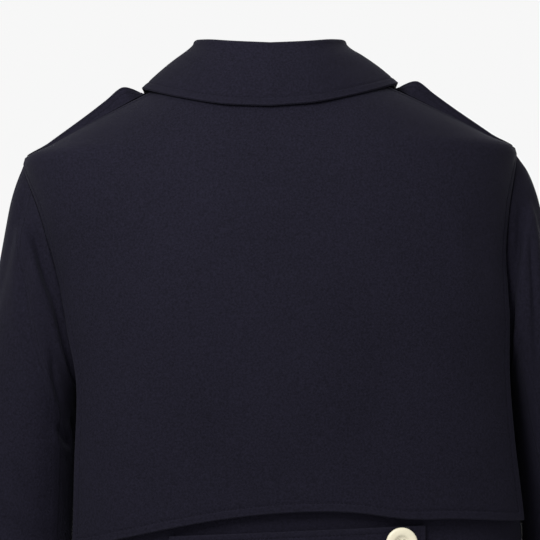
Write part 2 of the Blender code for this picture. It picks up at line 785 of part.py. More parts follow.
def make_belt(parent):
    """The half-belt lies level across the leaning back."""
    face = []
    inside = []
    for rise in (-0.5, 0.0, 0.5):
        outer = []
        inner = []
        for x in np.linspace(BELT_LEFT, BELT_RIGHT, 11):
            level = belt_level(x) + rise * BELT_HEIGHT
            share = share_at("back", level, x)
            outer.append(skin.point("back", level, share, BELT_LIFT + DOUBLE_WALL))
            inner.append(skin.point("back", level, share, BELT_LIFT))
        face.append(outer)
        inside.append(inner)
    cloth("half_belt", np.array(face), np.array(inside), navy, parent)


def belt_level(x):
    """The belt's middle line, which climbs a little to the wearer's left."""
    middle = (BELT_LEFT + BELT_RIGHT) / 2
    return BELT_MIDDLE + (x - middle) * math.tan(math.radians(BELT_TILT))


def share_at(half, level, x):
    """The share of the way round a half ring where it crosses x."""
    shares = np.linspace(0, 1, 400)
    xs = np.array([skin.point(half, level, share)[0] for share in shares])
    return float(np.interp(-x, -xs, shares))


def make_button(name, spot, normal, diameter, height, parent):
    """A turned button with a raised rim and a sunk middle, its back flat on the cloth."""
    radius = diameter / 2
    profile = (
        (0.0, 0.45 * height),
        (0.30 * radius, 0.45 * height),
        (0.60 * radius, 0.72 * height),
        (0.66 * radius, 1.0 * height),
        (0.86 * radius, 1.0 * height),
        (1.0 * radius, 0.6 * height),
        (0.92 * radius, 0.0),
        (0.0, 0.0),
    )
    mesh = bpy.data.meshes.new(name)
    points = [(x * MM, 0.0, z * MM) for x, z in profile]
    mesh.from_pydata(points, [(i, i + 1) for i in range(len(points) - 1)], [])
    thing = place(name, mesh, cream, parent)
    screw = thing.modifiers.new("Turned", "SCREW")
    screw.steps = BUTTON_SIDES
    screw.render_steps = BUTTON_SIDES
    screw.use_merge_vertices = True
    screw.merge_threshold = 0.00002
    thing.location = spot * MM
    thing.rotation_euler = Vector(normal).to_track_quat("Z", "Y").to_euler()


def make_buttons(parent):
    for number, height in enumerate(FRONT_BUTTONS, start=1):
        at = level_at_front(height)
        normal = skin.normal("front", at, 0.5)
        spot = skin.point("front", at, 0.5, LAP_LIFT + 2 * SEAM)
        make_button(f"front_button_{number}", spot, normal, BUTTON_DIAMETER, BUTTON_HEIGHT, parent)
    level = belt_level(BELT_BUTTON_X) + BELT_BUTTON_RISE
    share = share_at("back", level, BELT_BUTTON_X)
    normal = skin.normal("back", level, share)
    spot = skin.point("back", level, share, BELT_LIFT + DOUBLE_WALL + 2 * SEAM)
    make_button("half_belt_button", spot, normal, BUTTON_DIAMETER, BUTTON_HEIGHT, parent)
    for side in ("left", "right"):
        row = strap_rows.at(STRAP_BUTTON_LEVEL)
        next_row = strap_rows.at(STRAP_BUTTON_LEVEL - 4)
        middle = (strap_ridge(row) - row.front_edge) / 2
        off = (row.off_back + row.off_front) / 2
        next_off = (next_row.off_back + next_row.off_front) / 2
        across = strap_point(side, row, strap_ridge(row), row.off_back)
        across -= strap_point(side, row, -row.front_edge, row.off_front)
        along = strap_point(side, row, middle, off) - strap_point(side, next_row, middle, next_off)
        normal = np.cross(across, along)
        normal *= math.copysign(1 / np.linalg.norm(normal), normal[2])
        spot = strap_point(side, row, middle, off + DOUBLE_WALL + SEAM) + normal * SEAM
        name = f"epaulette_button_{side}"
        make_button(name, spot, normal, STRAP_BUTTON_DIAMETER, STRAP_BUTTON_HEIGHT, parent)


def level_at_front(z):
    """The level whose ring crosses the centre front at a height."""
    heights = [skin.point("front", level, 0.5)[2] for level in skin.levels]
    return float(np.interp(z, heights, skin.levels))


# ---------------------------------------------------------------- the jacket

for old in list(bpy.data.objects):
    bpy.data.objects.remove(old, do_unlink=True)

jacket = bpy.data.collections.new("field_jacket")
bpy.context.scene.collection.children.link(jacket)
navy = surface_material("navy_cloth", NAVY, 0.85)
cream = surface_material("cream_button", CREAM, 0.4)
worn = bpy.data.objects.new("worn_at_the_neck", None)
jacket.objects.link(worn)

make_back(worn)
make_fronts(worn)
make_flap(worn)
make_collar(worn)
for side in ("left", "right"):
    make_sleeve(side, worn)
    make_strap(side, worn)
make_belt(worn)
make_buttons(worn)
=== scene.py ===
"""A dark navy field jacket seen from behind, filled out with no wearer.

The shells here repeat the frame's own sections at a finer step, with rounded edges,
hems, seams, stitches and creases. Tables are in millimetres, as in the frame.
"""

import math
from types import SimpleNamespace

import bpy
import numpy as np
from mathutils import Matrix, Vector


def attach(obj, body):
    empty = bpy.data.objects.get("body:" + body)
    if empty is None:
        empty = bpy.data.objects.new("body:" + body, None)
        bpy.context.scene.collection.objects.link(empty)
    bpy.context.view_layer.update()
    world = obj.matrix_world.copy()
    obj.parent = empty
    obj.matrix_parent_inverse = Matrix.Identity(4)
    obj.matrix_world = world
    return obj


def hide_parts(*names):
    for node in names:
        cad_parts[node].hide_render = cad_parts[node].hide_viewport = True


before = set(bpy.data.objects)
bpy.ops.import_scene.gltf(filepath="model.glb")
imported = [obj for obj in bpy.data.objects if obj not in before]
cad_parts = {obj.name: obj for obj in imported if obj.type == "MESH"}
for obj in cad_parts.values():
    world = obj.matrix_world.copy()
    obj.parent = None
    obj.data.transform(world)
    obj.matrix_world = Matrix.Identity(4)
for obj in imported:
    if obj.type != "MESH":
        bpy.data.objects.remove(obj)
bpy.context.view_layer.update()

MM = 0.001

# ---------------------------------------------------------------- the frame's own sizes

WALL = 1.8
SEAM = 0.3
DOUBLE_WALL = 3.2
ARMHOLE_BACK = 38.0
ARMHOLE_FRONT = 44.0
ARMHOLE_GAP = 0.75
ARMHOLE_STEPS = (0.0, 0.03, 0.09, 0.17, 0.28, 0.41, 0.54, 0.67, 0.79, 0.89, 0.96, 1.0)
LAP = 18.0
LAP_CLEAR = 6.0
LAP_FADE = 34.0
LAP_LIFT = WALL + 0.6
FRONT_BUTTONS = (-102.0, -214.0, -326.0, -438.0, -550.0)
BUTTON_DIAMETER = 27.0
BUTTON_HEIGHT = 4.2
FLAP_SIDE_HEM = -387.0
FLAP_HEM_RISE = 21.0
FLAP_HEM_POWER = 1.6
FLAP_HEM_SHIFT = 0.05
FLAP_TOP = -9.2
FLAP_SEWN_TO = 0.6
FLAP_SEAM_INSET = 0.7
BELT_HEIGHT = 33.0
BELT_LEFT = 84.0
BELT_RIGHT = -130.0
BELT_MIDDLE = -398.5
BELT_TILT = 1.0
BELT_BUTTON_X = -109.5
BELT_BUTTON_RISE = 2.0
BELT_LIFT = 0.9
STRAP_FOOT = 4.6
STRAP_LEAN = 0.3
STRAP_REST = 0.9
STRAP_BUTTON_DIAMETER = 18.0
STRAP_BUTTON_HEIGHT = 3.4
STRAP_BUTTON_LEVEL = -30.0
COLLAR_WALL = 2.2
COLLAR_ROLL = 3.6
COLLAR_INSET = 2.4
COLLAR_TIP = 175
UNDERARM = -245.0
SHOULDER = -58.0
NECK = -8.0
HEM = -665.0
SLEEVE_SQUARE = 2.15
SLEEVE_SEAMS = {"left": (9, 4), "right": (4, 4)}

BODY_COLUMNS = "level side_z front_z half_width back_depth front_depth square lean roll"
BODY = (
    (-665, -665, -665, 203.0, 114, 119, 2.5, -27.0, 3.4),
    (-560, -560, -560, 200.3, 112, 118, 2.5, -26.2, 3.5),
    (-470, -470, -471, 194.3, 103, 113, 2.5, -25.2, 3.5),
    (-390, -390, -392, 190.0, 97, 110, 2.55, -24.0, 3.5),
    (-312, -313, -316, 185.3, 100, 114, 2.6, -20.7, 3.1),
    (-245, -255, -263, 181.4, 105, 119, 2.7, -19.4, 2.5),
    (-190, -206, -226, 186.0, 108, 118, 2.7, -15.0, 2.1),
    (-125, -142, -184, 196.5, 105, 112, 2.7, -7.2, 1.6),
    (-85, -100, -150, 204.0, 99, 104, 2.6, -3.0, 1.3),
    (-58, -67, -124, 208.0, 90, 97, 2.5, 0.0, 1.2),
    (-46, -54.5, -112, 185.0, 84, 92, 2.45, 0.0, 1.2),
    (-34, -35.5, -100, 150.0, 78, 87, 2.4, 0.0, 1.2),
    (-23, -17, -89, 115.0, 72, 82, 2.35, 0.0, 1.2),
    (-14.5, -4.5, -81, 90.0, 66.5, 78, 2.3, 0.0, 1.2),
    (-8, 2.5, -75, 75.0, 62, 74, 2.25, 0.0, 1.2),
)
FLAP_COLUMNS = "level inset off_side off_middle"
FLAP = (
    (-420, 39.0, 9.5, 7.5),
    (-390, 41.0, 9.5, 6.5),
    (-312, 45.5, 9.5, 5.0),
    (-245, 48.5, 9.5, 4.0),
    (-200, 48.5, 9.0, 3.2),
    (-170, 46.5, 6.0, 2.6),
    (-150, 43.0, 2.6, 2.0),
    (-125, 38.7, 0.35, 1.4),
    (-58, 4.0, 0.7, 1.0),
    (-23, 19.0, 0.4, 0.55),
    (-14, 20.4, 0.35, 0.4),
    (-9.2, 21.0, 0.35, 0.4),
)
COLLAR_COLUMNS = "turn roll_x roll_y roll_z edge_x edge_y edge_z belly"
COLLAR = (
    (0, 0.0, 55.5, 29.6, 0.0, 80.0, -25.0, 3.0),
    (30, 31.0, 50.5, 31.0, 34.0, 78.0, -23.0, 3.0),
    (60, 52.5, 31.5, 33.0, 78.0, 59.0, -15.0, 2.0),
    (90, 61.5, 3.0, 33.5, 109.6, 8.0, -6.0, 1.0),
    (105, 60.5, -14.0, 27.0, 109.0, -20.0, -7.5, 1.0),
    (120, 57.0, -32.0, 14.0, 106.0, -45.0, -22.0, 2.0),
    (150, 36.0, -59.0, -22.0, 80.0, -89.0, -78.0, 3.0),
    (175, 4.5, -73.0, -47.0, 36.0, -107.0, -116.0, 3.0),
)
STRAP_COLUMNS = "level back_edge front_edge off_back off_front"
STRAP = (
    (-55.5, -1.5, 33.0, 0.7, 0.7),
    (-50.5, 3.0, 35.0, 1.5, 1.6),
    (-45.0, 6.5, 35.5, 3.1, 2.2),
    (-36.0, 8.5, 36.0, 6.6, 2.6),
    (-29.0, 8.0, 36.0, 10.4, 2.8),
    (-24.6, 8.0, 36.0, 13.6, 2.8),
    (-19.8, -9.0, 17.0, 0.9, 0.8),
)
SLEEVE_COLUMNS = "ring mid_y half_depth pitch hold inner_x inner_z outer_x outer_z back_seam front_seam"
# The first five columns are the same on both sides
SLEEVE_SHARED = (
    (0, -3, 40, 0, 1.0),
    (1, -4, 47, 0, 0.72),
    (2, -5, 53, 0, 0.42),
    (3, -7, 58, 0, 0.18),
    (4, -10, 61, 0, 0.05),
    (5, -14, 63, 0, 0.0),
    (6, -18, 64, 0, 0.0),
    (7, -23, 64, 0, 0.0),
    (8, -26, 62, 1, 0.0),
    (9, -27, 60, 2, 0.0),
    (10, -28, 57, 4, 0.0),
    (11, -31, 54, 7, 0.0),
    (12, -36, 51, 10, 0.0),
    (13, -43, 49, 12, 0.0),
    (14, -50, 47, 13, 0.0),
)
SLEEVE_SIDES = {
    "left": (
        (164.7, -262.7, 207.5, -71.0, 55, 115),
        (164.7, -265.5, 214.5, -85.0, 58, 120),
        (164.7, -268.5, 221.5, -104.0, 67, 126),
        (164.7, -272.0, 227.5, -133.0, 91, 132),
        (164.6, -276.5, 234.0, -170.0, 98, 138),
        (164.6, -282.5, 241.0, -210.0, 122, 142),
        (164.8, -291.0, 248.0, -255.0, 131, 145),
        (165.2, -318.0, 255.5, -305.0, 133, 147),
        (165.4, -357.0, 261.5, -354.0, 135, 148),
        (165.9, -400.0, 266.0, -400.0, 136, 148),
        (168.5, -450.0, 268.0, -450.0, 138, 146),
        (171.5, -500.0, 269.0, -500.0, 140, 144),
        (176.0, -550.0, 269.0, -550.0, 142, 142),
        (181.0, -600.0, 268.5, -600.0, 144, 141),
        (186.0, -645.0, 268.0, -645.0, 145, 140),
    ),
    "right": (
        (-204.3, -247.0, -208.0, -62.7, 107, 115),
        (-204.3, -250.5, -219.0, -77.0, 118, 119),
        (-204.4, -254.5, -226.5, -95.0, 131, 124),
        (-204.6, -260.0, -233.0, -123.0, 126, 129),
        (-204.9, -267.0, -240.0, -160.0, 124, 134),
        (-205.4, -277.0, -252.0, -200.0, 121, 138),
        (-206.4, -291.0, -266.0, -248.0, 122, 142),
        (-208.2, -318.0, -280.0, -303.0, 118, 145),
        (-212.1, -357.0, -293.0, -352.0, 116, 147),
        (-215.2, -400.0, -301.0, -398.0, 116, 148),
        (-219.5, -450.0, -308.0, -448.0, 116, 146),
        (-224.5, -500.0, -313.0, -499.0, 116, 144),
        (-230.0, -550.0, -316.0, -549.0, 116, 142),
        (-235.5, -600.0, -317.0, -599.0, 117, 141),
        (-240.0, -645.0, -317.0, -645.0, 117, 140),
    ),
}
FOLD_COLUMNS = "angle ring half_angle half_rings depth"
SLEEVE_FOLDS = {
    "left": (
        (48, 1.3, 26, 0.9, 3.5),
        (-50, 1.4, 26, 0.9, 3.0),
        (120, 8.7, 45, 0.8, 3.0),
        (-120, 9.6, 50, 0.9, 4.0),
        (60, 11.4, 50, 0.8, 2.5),
    ),
    "right": (
        (52, 1.4, 30, 0.9, 3.5),
        (-52, 1.3, 26, 0.9, 3.0),
        (115, 8.9, 45, 0.9, 3.0),
        (-118, 9.3, 50, 0.8, 4.0),
        (70, 11.8, 45, 0.9, 2.5),
    ),
}

# ---------------------------------------------------------------- what only shows here

# Distances of the stitch lines from the edges, and the thread's own size
HEM_STITCH = 7.4
BODY_HEM_STITCH = 22.0
SLEEVE_STITCH = 11.0
STRIP_STITCH = 4.9
STRAP_ROWS = (2.2, 6.4)
STITCH_LENGTH = 2.5
STITCH_PITCH = 3.3
STRAP_PITCH = 3.0
STITCH_RADIUS = 0.27
STITCH_SINK = 0.12
STITCH_LIFT = 0.08
STITCH_SIDES = 6

# Along a stitch line the cloth sinks this deep and wide, and it is thicker inside the line
GROOVE = (0.45, 1.1)
STRIP_GROOVE = (0.25, 0.8)
HEM_RISE = 0.3

# A shell's rim: how far it is rounded, by which turns, and how far its painted highlight reaches in
RIM_ROUND = 0.42
RIM_TURNS = (50, 90, 130)
# The painted highlight is a lighter colour along the edges, standing in for light catching the rim
RIM_HIGHLIGHT_REACH = 1.6

# The seams are drawn closed, the sleeve heads' edge is lifted to the flap, and the flap's hem
# dips beside the belt's button: its place and reach are shares of half the flap
SEAM_CLOSED = -0.15
FLAP_RISE = 1.9
FLAP_DIP = 4.0
FLAP_DIP_PLACE = 0.46
FLAP_DIP_REACH = 0.17

# The weave's spacing, in metres
WEAVE = 0.0011

# A buttonhole's reach from the button's middle, and the collar's degrees to a millimetre
SLIT_LENGTH = 18.0
SLIT_PAST_BUTTON = 0.6
TURN_PER_STEP = 0.55

# Steps of the lattices from an edge inward
EDGE_STEPS = (0, 0.5, 1.1, 1.9, 3.0, 4.2, 5.4, 6.4, 7.0, 7.4, 7.8, 8.4, 9.2, 10.4, 12.0, 14.0)
STRIP_STEPS = (0, 0.4, 0.9, 1.5, 2.2, 3.0, 3.8, 4.4, 4.9, 5.4, 6.0, 6.8, 8.0)
SIDE_STEPS = (0, 0.5, 1.2, 2.2, 3.6, 5.4, 7.4)
HEM_STEPS = (0, 0.6, 1.4, 2.6, 4.5, 7, 10, 13, 16, 18.5, 20.2, 21.4, 22.0, 22.6, 23.8, 26)
SEAM_STEPS = np.array([0, 0.03, 0.07, 0.12, 0.18, 0.25, 0.34, 0.44, 0.56, 0.7, 0.85])
CUFF_STEPS = np.array([0, 0.06, 0.1, 0.13, 0.15, 0.17, 0.2, 0.25, 0.31, 0.38, 0.45, 0.52])

# Creases: a trough from start to end, in the piece's own two coordinates, bowed sideways
CREASE_COLUMNS = "a0 b0 a1 b1 bow width depth"
CREASE_PAST = 0.15
CREASE_FADE = 0.45
RIDGE_PLACE = 1.9
RIDGE_WIDTH = 1.3
RIDGE_HEIGHT = 0.55
DRIFT_WAVES = 7
FLAP_CREASES = (
    (166, -198, 162, -244, 3, 5, 1.7),
    (160, -235, 165, -300, -2, 5, 0.8),
    (150, -330, 60, -352, 5, 16, 0.7),
    (-40, -362, -150, -345, -6, 18, 0.8),
    (120, -80, 60, -45, 4, 12, 0.5),
    (-60, -40, -130, -85, -4, 13, 0.5),
    (40, -120, 10, -300, 8, 24, 1.5),
    (-60, -150, -95, -310, -8, 26, 1.5),
    (-175, -110, -182, -190, 3, 9, 0.8),
    (178, -95, 176, -150, -2, 8, 0.7),
)
BACK_CREASES = (
    (150, -430, 110, -560, 8, 16, 2.2),
    (-60, -440, -90, -600, -10, 22, 2.4),
    (40, -450, 60, -640, 8, 20, 1.9),
    (-170, -420, -150, -540, 6, 14, 2.2),
    (178, -300, 120, -350, -5, 12, 1.9),
    (-190, -290, -140, -345, 6, 12, 1.9),
)
FRONT_CREASES = (
    (150, -120, 120, -210, 8, 12, 2.8),
    (-150, -120, -125, -215, -8, 12, 2.8),
    (165, -255, 90, -300, 8, 11, 3.0),
    (-185, -250, -105, -300, -8, 12, 3.2),
    (60, -160, 30, -200, 3, 9, 1.8),
    (-60, -155, -35, -205, -3, 9, 1.8),
    (90, -330, 40, -420, 8, 18, 2.4),
    (-110, -330, -60, -430, -8, 18, 2.4),
    (120, -440, 95, -610, 10, 22, 3.0),
    (-150, -430, -120, -620, -10, 24, 3.2),
    (30, -470, 45, -640, 5, 18, 2.0),
)
# Along the sleeve: round the section in degrees from the outer point, and the ring
SLEEVE_CREASES = {
    "left": (
        (52, 0.9, 96, 1.2, 0, 20, 5.2),
        (98, 1.2, 150, 2.4, 0, 16, 5.5),
        (112, 3.4, 132, 5.6, 3, 6, 2.2),
        (60, 1.5, 84, 4.4, 3, 9, 1.8),
        (40, 0.8, 28, 4.8, -4, 8, 1.2),
        (128, 6.4, 150, 6.9, 3, 5, 2.4),
        (150, 6.1, 168, 6.9, 2, 4, 1.8),
        (85, 7.4, 130, 8.3, 5, 8, 1.8),
        (60, 8.4, 120, 9.2, -6, 9, 1.9),
        (-70, 8.6, -140, 9.3, 6, 9, 2.4),
        (-60, 9.5, -130, 10.0, 6, 9, 2.2),
        (-90, 6.6, -150, 7.6, 6, 8, 2.0),
        (30, 10.5, 100, 11.4, 6, 11, 1.6),
        (-30, 11.6, -100, 12.5, 6, 11, 1.8),
        (-60, 0.5, -45, 3.4, -4, 8, 2.0),
    ),
    "right": (
        (40, 0.9, 90, 1.1, 0, 18, 4.2),
        (100, 1.2, 150, 2.4, 0, 14, 4.0),
        (38, 0.8, 24, 4.6, 4, 8, 1.6),
        (80, 4.4, 66, 8.2, 4, 7, 1.4),
        (50, 1.5, 104, 6.0, -3, 10, 3.0),
        (70, 8.8, 130, 9.5, 6, 9, 1.8),
        (-70, 8.4, -140, 9.1, 6, 9, 2.4),
        (-60, 9.3, -130, 9.9, 6, 9, 2.2),
        (-90, 6.6, -150, 7.6, 6, 8, 2.0),
        (40, 10.7, 110, 11.7, -6, 11, 1.6),
        (-20, 11.4, -100, 12.4, 6, 11, 1.8),
        (-62, 0.5, -48, 3.4, 4, 8, 2.0),
    ),
}


def smooth(value):
    value = np.clip(value, 0.0, 1.0)
    return value * value * (3 - 2 * value)


def unit(vectors):
    return vectors / np.maximum(np.linalg.norm(vectors, axis=-1, keepdims=True), 1e-9)


def named(columns, row):
    return SimpleNamespace(**dict(zip(columns.split(), row)))


def length_along(line):
    """The way along a line from its start to each of its points."""
    return np.concatenate([[0.0], np.cumsum(np.linalg.norm(np.diff(line, axis=0), axis=1))])


def read_at(places, length, values):
    """Each column of values at places along a line."""
    return np.stack([np.interp(places, length, column) for column in values.T], axis=1)


def between(grid, i, k):
    """A lattice's values at fractional places."""
    i0 = i.astype(int)
    k0 = k.astype(int)
    di = (i - i0)[..., None]
    dk = (k - k0)[..., None]
    low = grid[i0, k0] * (1 - dk) + grid[i0, k0 + 1] * dk
    high = grid[i0 + 1, k0] * (1 - dk) + grid[i0 + 1, k0 + 1] * dk
    return low * (1 - di) + high * di


class Rows:
    """A table with named columns, its rows joined by curves that never overshoot them."""

    def __init__(self, columns, rows):
        self.names = columns.split()
        self.values = np.array(rows, float)
        self.where = self.values[:, 0]
        step = np.diff(self.where)[:, None]
        rise = np.diff(self.values, axis=0) / step
        slope = np.zeros_like(self.values)
        slope[0] = rise[0]
        slope[-1] = rise[-1]
        before = rise[:-1]
        after = rise[1:]
        same_way = before * after > 0
        total = np.where(same_way, before + after, 1.0)
        slope[1:-1] = np.where(same_way, 2 * before * after / total, 0.0)
        self.slope = slope

    def at(self, place):
        """Every column at one place or an array of places, as named values."""
        place = np.clip(np.asarray(place, float), self.where[0], self.where[-1])
        i = np.clip(np.searchsorted(self.where, place, side="right") - 1, 0, len(self.where) - 2)
        span = (self.where[i + 1] - self.where[i])[..., None]
        t = (place - self.where[i])[..., None] / span
        value = (
            (2 * t**3 - 3 * t**2 + 1) * self.values[i]
            + (t**3 - 2 * t**2 + t) * span * self.slope[i]
            + (3 * t**2 - 2 * t**3) * self.values[i + 1]
            + (t**3 - t**2) * span * self.slope[i + 1]
        )
        return SimpleNamespace(**{name: value[..., k] for k, name in enumerate(self.names)})


def superellipse(angle, half_x, half_y, square):
    cos = np.cos(angle)
    sin = np.sin(angle)
    x = half_x * np.sign(cos) * np.abs(cos) ** (2 / square)
    y = half_y * np.sign(sin) * np.abs(sin) ** (2 / square)
    return x, y


class Skin:
    """The torso's outer face, as a fine lattice for its back and its front half."""

    LEVELS = 841
    TURNS = 401

    def __init__(self, body):
        self.levels = np.linspace(HEM, NECK, self.LEVELS)
        self.halves = {}
        self.lengths = {}
        for half, side in (("back", 1), ("front", -1)):
            rings = [self.ring(body.at(level), side) for level in self.levels]
            points = np.array([found for found, length in rings])
            normals = np.cross(np.gradient(points, axis=1), np.gradient(points, axis=0)) * side
            self.halves[half] = (points, unit(normals))
            self.lengths[half] = np.array([length for found, length in rings])
        back = self.halves["back"][1]
        front = self.halves["front"][1]
        for end in (0, -1):
            shared = unit(back[:, end] + front[:, end])
            back[:, end] = shared
            front[:, end] = shared

    def ring(self, row, side):
        """One section's points, evenly spaced from side to side, and its length."""
        depth = row.back_depth if side > 0 else row.front_depth
        end_z = row.level if side > 0 else row.front_z
        turn = np.linspace(0, 1, 1201)
        angle = math.pi * (turn - np.sin(4 * math.pi * turn) / (4 * math.pi) * 0.9)
        x, y = superellipse(angle, row.half_width, depth, row.square)
        z = row.side_z + (end_z - row.side_z) * (y / depth) ** 2
        z -= x * math.tan(math.radians(row.roll))
        dense = np.stack([x + row.lean, y * side, z], axis=1)
        length = length_along(dense)
        even = np.linspace(0, length[-1], self.TURNS)
        return read_at(even, length, dense), length[-1]

    def length(self, half, level):
        return np.interp(level, self.levels, self.lengths[half])

    def at(self, half, level, share, out=0.0):
        """Points at levels and shares of the way from the left side to the right."""
        points, normals = self.halves[half]
        level, share, out = np.broadcast_arrays(level, share, out)
        i = np.clip((level - HEM) / (NECK - HEM) * (self.LEVELS - 1), 0, self.LEVELS - 1.001)
        k = np.clip(share * (self.TURNS - 1), 0, self.TURNS - 1.001)
        normal = unit(between(normals, i, k))
        return between(points, i, k) + normal * out[..., None], normal


body_rows = Rows(BODY_COLUMNS, BODY)
skin = Skin(body_rows)
flap_rows = Rows(FLAP_COLUMNS, FLAP)
collar_rows = Rows(COLLAR_COLUMNS, COLLAR)
strap_rows = Rows(STRAP_COLUMNS, STRAP)


# ---------------------------------------------------------------- form on the lattices


def lattice_normals(points, like):
    """The lattice's normals, on the same side as another set of directions."""
    normals = unit(np.cross(np.gradient(points, axis=0), np.gradient(points, axis=1)))
    flip = np.sign((normals * like).sum(axis=-1, keepdims=True).sum())
    return normals * flip


def along_columns(points):
    steps = np.linalg.norm(np.diff(points, axis=0), axis=2)
    return np.concatenate([np.zeros((1, points.shape[1])), np.cumsum(steps, axis=0)])


def along_rows(points):
    steps = np.linalg.norm(np.diff(points, axis=1), axis=2)
    return np.concatenate([np.zeros((points.shape[0], 1)), np.cumsum(steps, axis=1)], axis=1)


def creased(a, b, table, reach_a=1.0, reach_b=1.0):
    """How far the creases of a table move the cloth, at places given in two coordinates.
    Each is a soft trough with a low ridge on one side, fading at its ends."""
    moved = np.zeros(np.shape(a))
    for row in table:
        c = named(CREASE_COLUMNS, row)
        start = np.array([c.a0 * reach_a, c.b0 * reach_b])
        end = np.array([c.a1 * reach_a, c.b1 * reach_b])
        way = end - start
        size = np.linalg.norm(way)
        way /= size
        da = a * reach_a - start[0]
        db = b * reach_b - start[1]
        t = (da * way[0] + db * way[1]) / size
        side = -da * way[1] + db * way[0] - c.bow * 4 * t * (1 - t)
        fade = smooth((t + CREASE_PAST) / CREASE_FADE) * smooth((1 + CREASE_PAST - t) / CREASE_FADE)
        trough = np.exp(-((side / c.width) ** 2))
        ridge = np.exp(-(((side - RIDGE_PLACE * c.width) / (RIDGE_WIDTH * c.width)) ** 2))
        moved += c.depth * fade * (RIDGE_HEIGHT * ridge - trough)
    return moved


def drift(a, b, seed, length, depth):
    """Slow unevenness of the cloth: a few long waves that cross."""
    pick = np.random.default_rng(seed)
    moved = np.zeros(np.shape(a))
    for _ in range(DRIFT_WAVES):
        turn = pick.uniform(0, math.pi)
        wave = length * pick.uniform(0.7, 1.6)
        phase = pick.uniform(0, 2 * math.pi)
        moved += np.sin((a * math.cos(turn) + b * math.sin(turn)) * 2 * math.pi / wave + phase)
    return moved * depth / DRIFT_WAVES


def groove(distance, depth=GROOVE[0], width=GROOVE[1]):
    return -depth * np.exp(-((distance / width) ** 2))


def hemmed(distance, stitch, rise=HEM_RISE, past=1.0, soft=2.0, sunk=GROOVE):
    """The thicker cloth between an edge and its stitch line, and the line's groove."""
    return rise * smooth((stitch + past - distance) / soft) + groove(distance - stitch, *sunk)


def strip_hem(distance):
    return hemmed(distance, STRIP_STITCH, 0.25, 0.6, 1.4, STRIP_GROOVE)


def from_sides(along):
    return np.minimum(along - along[:, :1], along[:, -1:] - along)


def from_ends(along):
    return np.minimum(along, along[-1:] - along)


def shell(name, face, normals, wall, material):
    """A closed shell of cloth under a lattice of outer points, its rim rounded."""
    rows, columns = face.shape[:2]
    inside = face - normals * wall
    rim = [(i, 0) for i in range(rows)]
    rim += [(rows - 1, k) for k in range(1, columns)]
    rim += [(i, columns - 1) for i in range(rows - 2, -1, -1)]
    rim += [(0, k) for k in range(columns - 2, 0, -1)]
    ri, rk = np.array(rim).T
    normal = normals[ri, rk]
    out = face[ri, rk] - face[np.clip(ri, 1, rows - 2), np.clip(rk, 1, columns - 2)]
    out = unit(out - normal * (out * normal).sum(axis=1, keepdims=True))
    outer_rim = face[ri, rk].copy()
    round_in = RIM_ROUND * wall
    face = face.copy()
    face[ri, rk] = outer_rim - out * round_in - normal * 0.1 * wall
    inside[ri, rk] = outer_rim - out * round_in - normal * 0.9 * wall
    points = [face.reshape(-1, 3), inside.reshape(-1, 3)]
    for turn in np.radians(RIM_TURNS):
        depth = 0.5 - 0.4 * math.cos(turn)
        points.append(outer_rim - out * round_in * (1 - math.sin(turn)) - normal * depth * wall)
    index = np.arange(rows * columns).reshape(rows, columns)
    quads = np.stack([index[:-1, :-1], index[1:, :-1], index[1:, 1:], index[:-1, 1:]], axis=-1)
    quads = quads.reshape(-1, 4)
    faces = [quads, quads[:, ::-1] + rows * columns]
    around = len(rim)
    rings = [index[ri, rk]]
    rings += [2 * rows * columns + around * n + np.arange(around) for n in range(len(RIM_TURNS))]
    rings.append(index[ri, rk] + rows * columns)
    for first, second in zip(rings, rings[1:]):
        strip = [first, second, np.roll(second, -1), np.roll(first, -1)]
        faces.append(np.stack(strip, axis=-1)[:, ::-1])
    piece = add_piece(name, np.concatenate(points), np.concatenate(faces).tolist(), material)
    u = along_rows(face)
    u = u - u[:, columns // 2 : columns // 2 + 1]
    v = along_columns(face)
    flat = np.stack([u, v], axis=-1).reshape(-1, 2)
    uv = np.concatenate([flat, flat, *[flat[index[ri, rk]]] * len(RIM_TURNS)]) * MM
    # Painted highlight: a factor that rises towards the shell's edges, with which the cloth's colour is
    # lightened there as if light caught the rim
    edge = np.exp(-np.minimum(from_ends(v), from_sides(u)).reshape(-1) / RIM_HIGHLIGHT_REACH)
    edge = np.concatenate([edge, edge, np.ones(len(RIM_TURNS) * around)])
    mesh = piece.data
    corners = np.zeros(len(mesh.loops), np.int32)
    mesh.loops.foreach_get("vertex_index", corners)
    layer = mesh.uv_layers.new(name="cloth")
    layer.data.foreach_set("uv", uv[corners].astype(np.float32).reshape(-1))
    rim_highlight = mesh.attributes.new("edge", "FLOAT", "POINT")
    rim_highlight.data.foreach_set("value", edge.astype(np.float32))
    return piece


def add_piece(name, points, faces, material):
    """A piece from points in millimetres, its faces turned outward, riding on the body."""
    mesh = bpy.data.meshes.new(name)
    mesh.from_pydata((np.array(points) * MM).tolist(), [], faces)
    mesh.validate()
    mesh.shade_smooth()
    if signed_volume(mesh) < 0:
        mesh.flip_normals()
    piece = bpy.data.objects.new(name, mesh)
    bpy.context.scene.collection.objects.link(piece)
    mesh.materials.append(material)
    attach(piece, "root")
    return piece


def ring_of(middle, one, two, radius, sides):
    """A circle of points round a middle, in the plane of two directions."""
    turns = [2 * math.pi * q / sides for q in range(sides)]
    return [middle + (one * math.cos(turn) + two * math.sin(turn)) * radius for turn in turns]


def tube_sides(base, rings, sides):
    """Faces round a tube whose rings of points follow one another."""
    faces = []
    for low in range(base, base + (rings - 1) * sides, sides):
        for q in range(sides):
            r = (q + 1) % sides
            faces.append((low + q, low + r, low + sides + r, low + sides + q))
    return faces


def closed_tube(base, rings, sides):
    """The same with a flat face over each end."""
    last = base + (rings - 1) * sides
    ends = [tuple(range(base + sides - 1, base - 1, -1)), tuple(range(last, last + sides))]
    return tube_sides(base, rings, sides) + ends


